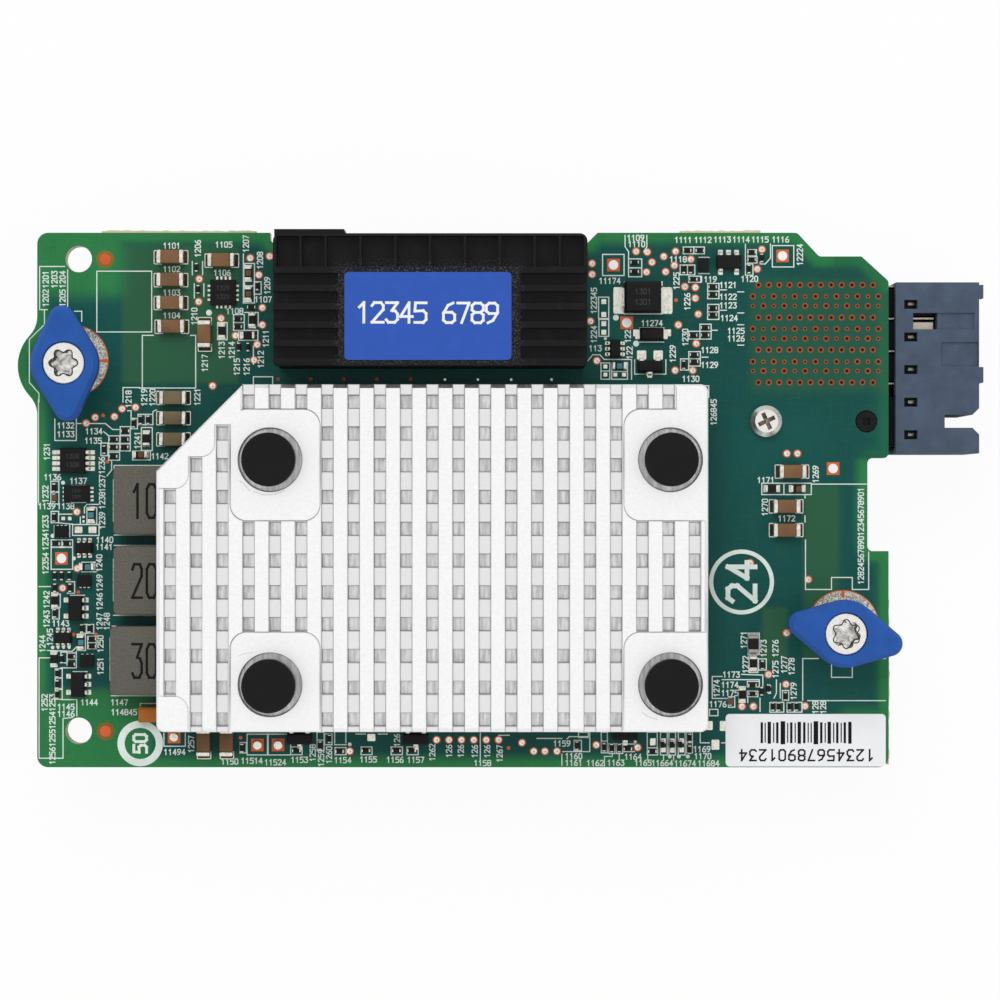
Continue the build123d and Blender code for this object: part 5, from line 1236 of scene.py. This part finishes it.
# Bars of the plain code on the serial label: start and width in photograph pixels.
CODE_BARS = [
    (760, 2.4), (764, 1.2), (767, 3.4), (772.5, 1.2), (775.5, 2.4), (780, 4.6), (786.5, 1.2), (789.5, 2.4),
    (794, 1.2), (797, 3.4), (802.5, 2.4), (807, 1.2), (810, 1.2), (813, 4.6), (819.5, 2.4), (824, 1.2),
    (827, 3.4), (832.5, 1.2), (835.5, 2.4), (840, 1.2), (843, 2.4), (847.6, 3.4),
]
CODE_TOP_AND_LOW = (723.5, 742)
# Numbers on labels and inductors: middle in photograph pixels, turn and text.
CAP_NUMBER = (427, 312.6, -0.005, "12345 6789")
SERIAL_NUMBER = (806, 755.2, math.pi, "12345678901234")
INDUCTOR_NUMBERS = {
    "inductor_1": (143.5, 501, 0, "10"),
    "inductor_2": (143.5, 581, 0, "20"),
    "inductor_3": (143.5, 661, 0, "30"),
}


def number_on(node, number, height, line, thickness, spacing, wide):
    """One plain number lying on top of a CAD node."""
    x, y, turn, text = number
    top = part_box(node)[1].z
    label = (*on_board(x, y, top - BOARD_TOP), turn, text)
    return raised(write_numbers("number", [label], height, line, thickness, spacing, wide), top)


class CARD_OT_marks(bpy.types.Operator):
    """Plain numbers and bars on the labels, the inductors and the moulded packages"""

    bl_idname = "card.marks"
    bl_label = "Marks"

    def execute(self, context):
        thick = sizes().ink_height / 2
        white = number_on("cap_label", CAP_NUMBER, 2.25 * MM, 0.3 * MM, thick, 0.73, 1.15)
        keep(white, "cap_label_numbers", "paper")

        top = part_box("serial_label")[1].z
        bars = []
        for x, wide in CODE_BARS:
            run = [on_board(x + wide / 2, y) for y in CODE_TOP_AND_LOW]
            bars.append(strips("bars", [run], wide * PHOTO_SCALE, 0, thick))
        x, y, turn, text = SERIAL_NUMBER
        row = (*on_board(x, y), turn, text)
        bars.append(write_numbers("row", [row], 1.25 * MM, 0.2 * MM, thick, 0.92, 1.15))
        keep(raised(joined(bars, "serial_marks"), top), "serial_marks", "marking")

        painted = []
        for node, number in INDUCTOR_NUMBERS.items():
            painted.append(number_on(node, number, 3.9 * MM, 0.3 * MM, thick, 0.43, 0.55))
        keep(joined(painted, "inductor_marks"), "inductor_marks", "marking")

        lasered = []
        for node in ("leaded_bodies", "leadless_packages", "power_diode"):
            for index, (low, high) in enumerate(solid_boxes(node)):
                wide = high.x - low.x
                deep = high.y - low.y
                if min(wide, deep) > 1.7 * MM:
                    centre = (low + high) / 2
                    levels = (centre.y + deep * 0.17, centre.y - deep * 0.17)
                    rows = [(centre.x, level, 0, str(1301 + 7 * index)) for level in levels]
                    mark = write_numbers("mark", rows, deep * 0.16, deep * 0.022, thick)
                    lasered.append(raised(mark, high.z))
        keep(joined(lasered, "package_marks"), "package_marks", "laser")
        return {"FINISHED"}


class CARD_OT_solder(bpy.types.Operator):
    """Pads and sloped solder at both ends of the large capacitors"""

    bl_idname = "card.solder"
    bl_label = "Capacitor solder"

    def execute(self, context):
        thick = sizes().pad_height
        pads = []
        slopes = []
        reach = 0.5 * MM
        for low, high in solid_boxes("capacitor_bodies"):
            matrix = end_matrix(Vector((low.x, low.y, BOARD_TOP)), Vector((high.x, high.y, BOARD_TOP)))
            narrow, long = sorted((high.x - low.x, high.y - low.y))
            half = long / 2 + reach
            wide = narrow * 1.1
            steep = (reach * 0.8, wide * 0.86, (high.z - low.z) * 0.55)
            for side, turn in ((1, 0), (-1, math.pi)):
                pads.append(matrix @ moved(side * half, 0, 0, 0, (reach * 2, wide, thick)))
                slopes.append(matrix @ moved(side * half, 0, thick * 0.9, turn, steep))
        plate = rounded(unit_block(), 0.1)
        keep(repeated(plate, "capacitor_pads", pads), "capacitor_pads", "tin")
        slope = subdivided(new_block((0, -0.5, 0), (1, 0.5, 1)), 4)
        for vertex in slope.data.vertices:
            vertex.co.z *= (1 - vertex.co.x) ** 2 * 0.95 + 0.05
        bpy.ops.object.shade_smooth_by_angle(angle=math.radians(50))
        # Painted shade: the steep solder sides are dark.
        keep(repeated(slope, "capacitor_solder", slopes), "capacitor_solder", "slope")
        return {"FINISHED"}


# Parts on the board


def end_matrix(low, high):
    """Place and turn of a chip from its box: along its longer side."""
    centre = (low + high) / 2
    upright = high.y - low.y > high.x - low.x
    return moved(centre.x, centre.y, low.z, math.pi / 2 if upright else 0.0)


def chip_model(length_x, width_y, height_z, end, fillet, end_share=1.0):
    """Chip part at the origin, as two pieces: its body, and both tinned ends with their solder fillets."""
    half = length_x / 2
    round_by = height_z * 0.12
    corner = (half - end, width_y / 2, height_z * 0.97)
    body = new_block((-corner[0], -corner[1], 0.0), corner, round_by)
    ends = []
    for side in (1, -1):
        low, high = sorted((side * (half - end), side * half))
        edge = width_y / 2 * end_share
        ends.append(new_block((low, -edge, 0), (high, edge, height_z), round_by * 1.3))
        low, high = sorted((side * (half - end * 0.6), side * (half + fillet)))
        foot = new_block((low, -edge * 1.06, 0), (high, edge * 1.06, height_z * 0.45))
        for vertex in foot.data.vertices:
            if vertex.co.z > height_z * 0.2 and abs(vertex.co.x) > half:
                vertex.co.z = 0.06 * MM
        ends.append(foot)
    return body, joined(ends, "ends")


def dress_chips(node, name, finish, end, fillet, end_share=1.0, end_finish="tin"):
    """Detailed chips at each of a node's solids."""
    boxes = solid_boxes(node)
    low, high = boxes[0]
    narrow, long = sorted((high.x - low.x, high.y - low.y))
    body, ends = chip_model(long, narrow, high.z - low.z, end, fillet, end_share)
    places = [end_matrix(*box) for box in boxes]
    keep(repeated(body, f"{name}_bodies", places), f"{name}_bodies", finish, stands_for=(node,))
    keep(repeated(ends, f"{name}_ends", places), f"{name}_ends", end_finish)


FILM_TOPS = {
    "cyan": [(90.9, 515), (87.4, 567), (80.6, 642.4), (619, 366.1)],
    "brown": [(54.1, 497.8), (248, 273.3), (248, 294.2), (140.7, 455), (798, 489), (730, 701.5)],
}


class CARD_OT_chips(bpy.types.Operator):
    """Chip resistors and small capacitors with tinned ends and solder fillets"""

    bl_idname = "card.chips"
    bl_label = "Chips"

    def execute(self, context):
        dress_chips("chips_0402", "chip_0402", "glaze", 0.15 * MM, 0.03 * MM, 0.72)
        dress_chips("chips_0603", "chip_0603", "glaze", 0.32 * MM, 0.18 * MM)
        dress_chips(
            "chip_0805", "chip_0805", "glaze", 0.4 * MM, 0.25 * MM, end_finish="dark_tin"
        )
        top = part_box("chips_0603")[1].z
        for name, places in FILM_TOPS.items():
            film = new_block((-0.32 * MM, -0.32 * MM, 0), (0.32 * MM, 0.32 * MM, 0.02 * MM), 0.008 * MM)
            spots(f"{name}_films", places, film, name, top)
        return {"FINISHED"}


# Place of the duller capacitors, in photograph pixels: left, top, right, bottom.
DULL_AREA = (158, 384, 192, 452)


class CARD_OT_capacitors(bpy.types.Operator):
    """Large ceramic capacitors with rounded tinned ends, four of them duller, and the ochre one"""

    bl_idname = "card.capacitors"
    bl_label = "Capacitors"

    def execute(self, context):
        bodies = refined("capacitor_bodies", None, 0.06 * MM)
        paint(bodies, "ceramic", "dull_ceramic")
        left, top = on_board(*DULL_AREA[:2])
        right, low = on_board(*DULL_AREA[2:])
        for face in bodies.data.polygons:
            face.material_index = int(left < face.center.x < right and low < face.center.y < top)
        refined("capacitor_ends", "tin", 0.16 * MM, 3)
        refined("orange_capacitor", "ochre", 0.08 * MM)
        return {"FINISHED"}


class CARD_OT_packages(bpy.types.Operator):
    """Moulded packages, diodes and inductors with softened edges"""

    bl_idname = "card.packages"
    bl_label = "Packages"

    def execute(self, context):
        for node in ("leaded_bodies", "leadless_packages", "power_diode", "small_diode"):
            refined(node, "epoxy", 0.04 * MM)
        for node in ("inductor_1", "inductor_2", "inductor_3"):
            refined(node, "composite", 0.22 * MM, 3)
        refined("inductor_terminals", "tin", 0.04 * MM)
        return {"FINISHED"}


# Turn of each screw's head against the CAD and then the angle of one lobe of its drive, in degrees.
DRIVE_TURNS = {"left": (30, 0), "right": (0, 30)}
DRIVE_RADIUS = 1.45 * MM
DRIVE_LOBE = 0.23 * MM
# Contact tips in the rear housing's windows, in photograph pixels.
TIP_PLACES = [(911, 303.6), (911, 336.6), (911, 369), (911, 401.8), (911, 434.4)]
SCUFFS = [
    [(238.5, 480.5), (243, 484), (249, 491)], [(253, 491.5), (263, 495), (275, 494), (284, 490.5)],
    [(237.5, 656.3), (244, 653.5), (252, 653)], [(640.5, 712), (648, 717), (657, 720)],
]


def drive_rim(middle, lobe):
    """Closed run along the edge of a six-lobe drive, one lobe of which stands at this angle."""
    rim = []
    for step in range(73):
        angle = step * math.tau / 72
        reach = DRIVE_RADIUS + DRIVE_LOBE * math.cos(6 * (angle - math.radians(lobe)))
        rim.append((middle.x + reach * math.cos(angle), middle.y + reach * math.sin(angle)))
    return rim


class CARD_OT_mouldings(bpy.types.Operator):
    """Press cap, heat sink, captive screws, rear housing and its contact tips, with softened edges"""

    bl_idname = "card.mouldings"
    bl_label = "Mouldings"

    def execute(self, context):
        refined("press_cap", "cap", sizes().edge_round * 1.5)
        plate = node_copy("heat_sink", "heat_sink_refined")
        # The bevels take their own slot, the darker aluminium of painted shade.
        paint(plate, "aluminium", "worn_edge")
        rounded(plate, 0.06 * MM, 1, 50, 1, False)
        bpy.ops.object.shade_flat()
        keep(plate, "heat_sink_refined", stands_for=("heat_sink",))
        for side, (turn, lobe) in DRIVE_TURNS.items():
            screw = refined(f"{side}_screw", f"{side}_drive", 0.05 * MM, 2, f"{side}_turn")
            low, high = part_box(f"{side}_screw")
            middle = (low + high) / 2
            turned = moved(middle.x, middle.y, 0, math.radians(turn))
            screw.data.transform(turned @ moved(-middle.x, -middle.y, 0))
            # Dark ring of painted shade along the drive's rim.
            rim = drive_rim(middle, lobe)
            edge = strips("drive_edge", [rim], 0.13 * MM, high.z - 0.005 * MM, 0.008 * MM)
            keep(edge, f"{side}_drive_edge", "drive_edge", f"{side}_turn")
        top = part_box("heat_sink")[1].z
        scuffs = [[on_board(x, y, top - BOARD_TOP) for x, y in run] for run in SCUFFS]
        marks = strips("scuffs", scuffs, 0.035 * MM, top - 0.25 * MM, 0.01 * MM)
        keep(marks, "plate_scuffs", "dark_tin")
        refined("rear_housing", "slate", sizes().edge_round * 0.8)
        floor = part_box("rear_wafers")[1].z
        corner = Vector((0.42, 0.22, 0.05)) * MM
        tip = raised(new_block((-corner.x, -corner.y, 0), corner, 0.02 * MM), floor)
        places = [moved(*on_board(*place, floor - BOARD_TOP), 0) for place in TIP_PLACES]
        keep(repeated(tip, "wafer_tips", places), "wafer_tips", "dark_tin")
        return {"FINISHED"}


class CARD_OT_finishes(bpy.types.Operator):
    """Give every CAD node its finish"""

    bl_idname = "card.finishes"
    bl_label = "Finishes"

    def execute(self, context):
        make_finishes()
        for finish, nodes in FINISH_NODES.items():
            for node in nodes:
                paint(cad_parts[node], finish)
        return {"FINISHED"}


class CARD_OT_stage(bpy.types.Operator):
    """Pale floor that is clear from below, soft studio light and the camera straight above the card"""

    bl_idname = "card.stage"
    bl_label = "Stage"

    def execute(self, context):
        clear_selection()
        bpy.ops.mesh.primitive_plane_add(size=3, location=(0, 0, cad_box[0][2] - 0.02 * MM))
        floor = settle()
        floor.name = "studio_floor"
        white = linear("#ffffff")
        # Painted board: matt and pale.
        material, tree = new_finish("Matt painted floor", linear("#f3f3f3"), 0.8)
        camera_ray = add_node(tree, "LightPath", output="Is Camera Ray")
        share = add_node(tree, "Math", (camera_ray, FLOOR_GLOW_SHARE), operation="MULTIPLY")
        glow = add_node(tree, "Emission", (white, 1.0))
        lit = add_node(tree, "MixShader", (share, tree.nodes["Principled BSDF"].outputs[0], glow))
        below = add_node(tree, "NewGeometry", output="Backfacing")
        clear = add_node(tree, "BsdfTransparent")
        open_below = add_node(tree, "MixShader", (below, lit, clear))
        tree.links.new(open_below, tree.nodes["Material Output"].inputs["Surface"])
        floor.data.materials.append(material)

        world = bpy.data.worlds.new("Studio")
        context.scene.world = world
        world.use_nodes = True
        tree = world.node_tree
        soft = tree.nodes["Background"]
        soft.inputs["Color"].default_value = (*white, 1)
        soft.inputs["Strength"].default_value = WORLD_STRENGTH
        bright = add_node(tree, "Background", (white, 1.0))
        seen = add_node(tree, "LightPath", output="Is Camera Ray")
        for kind in ("Is Glossy Ray", "Is Transmission Ray"):
            ray = add_node(tree, "LightPath", output=kind)
            seen = add_node(tree, "Math", (seen, ray), operation="MAXIMUM")
        shown = add_node(tree, "MixShader", (seen, soft.outputs[0], bright))
        tree.links.new(shown, tree.nodes["World Output"].inputs["Surface"])

        for name, place, size, power in (
            ("Key lamp", (-0.12, 0.42, 0.62), 0.5, 2.5),
            ("Fill lamp", (0.5, -0.2, 0.6), 0.5, 1.0),
        ):
            lamp = bpy.data.lights.new(name, "AREA")
            lamp.size = size
            lamp.energy = power
            holder = bpy.data.objects.new(name, lamp)
            context.collection.objects.link(holder)
            holder.location = place
            holder.visible_glossy = False
            holder.rotation_euler = (-Vector(place)).to_track_quat("-Z", "Y").to_euler()

        camera = bpy.data.cameras.new("Camera")
        camera.lens = LENS
        camera.sensor_width = SENSOR
        camera.clip_start = 0.01
        holder = bpy.data.objects.new("Camera", camera)
        context.collection.objects.link(holder)
        holder.location = (-0.07 * MM, 0, BOARD_TOP + CAMERA_HEIGHT)
        context.scene.camera = holder
        context.scene.view_settings.view_transform = "Standard"
        return {"FINISHED"}


STEPS = (
    CARD_OT_finishes,
    CARD_OT_board_layers,
    CARD_OT_vias,
    CARD_OT_screw_rings,
    CARD_OT_ink,
    CARD_OT_marks,
    CARD_OT_solder,
    CARD_OT_pads,
    CARD_OT_chips,
    CARD_OT_capacitors,
    CARD_OT_packages,
    CARD_OT_mouldings,
    CARD_OT_stage,
)


class CARD_PT_panel(bpy.types.Panel):
    """Sidebar panel with the card's sizes, colours and steps"""

    bl_idname = "CARD_PT_panel"
    bl_label = "Network card"
    bl_space_type = "VIEW_3D"
    bl_region_type = "UI"
    bl_category = "Card"

    def draw(self, context):
        for group in (context.scene.card_sizes, context.scene.card_colours):
            for key in group.bl_rna.properties.keys():
                if key not in {"rna_type", "name"}:
                    self.layout.prop(group, key)
        for step in STEPS:
            self.layout.operator(step.bl_idname)


CLASSES = (CardSizes, CardColours, *STEPS, CARD_PT_panel)


def register():
    for item in CLASSES:
        bpy.utils.register_class(item)
    bpy.types.Scene.card_sizes = bpy.props.PointerProperty(type=CardSizes)
    bpy.types.Scene.card_colours = bpy.props.PointerProperty(type=CardColours)


def unregister():
    del bpy.types.Scene.card_colours
    del bpy.types.Scene.card_sizes
    for item in reversed(CLASSES):
        bpy.utils.unregister_class(item)


def main():
    register()
    for step in STEPS:
        family, action = step.bl_idname.split(".")
        getattr(getattr(bpy.ops, family), action)()


if __name__ == "__main__":
    main()
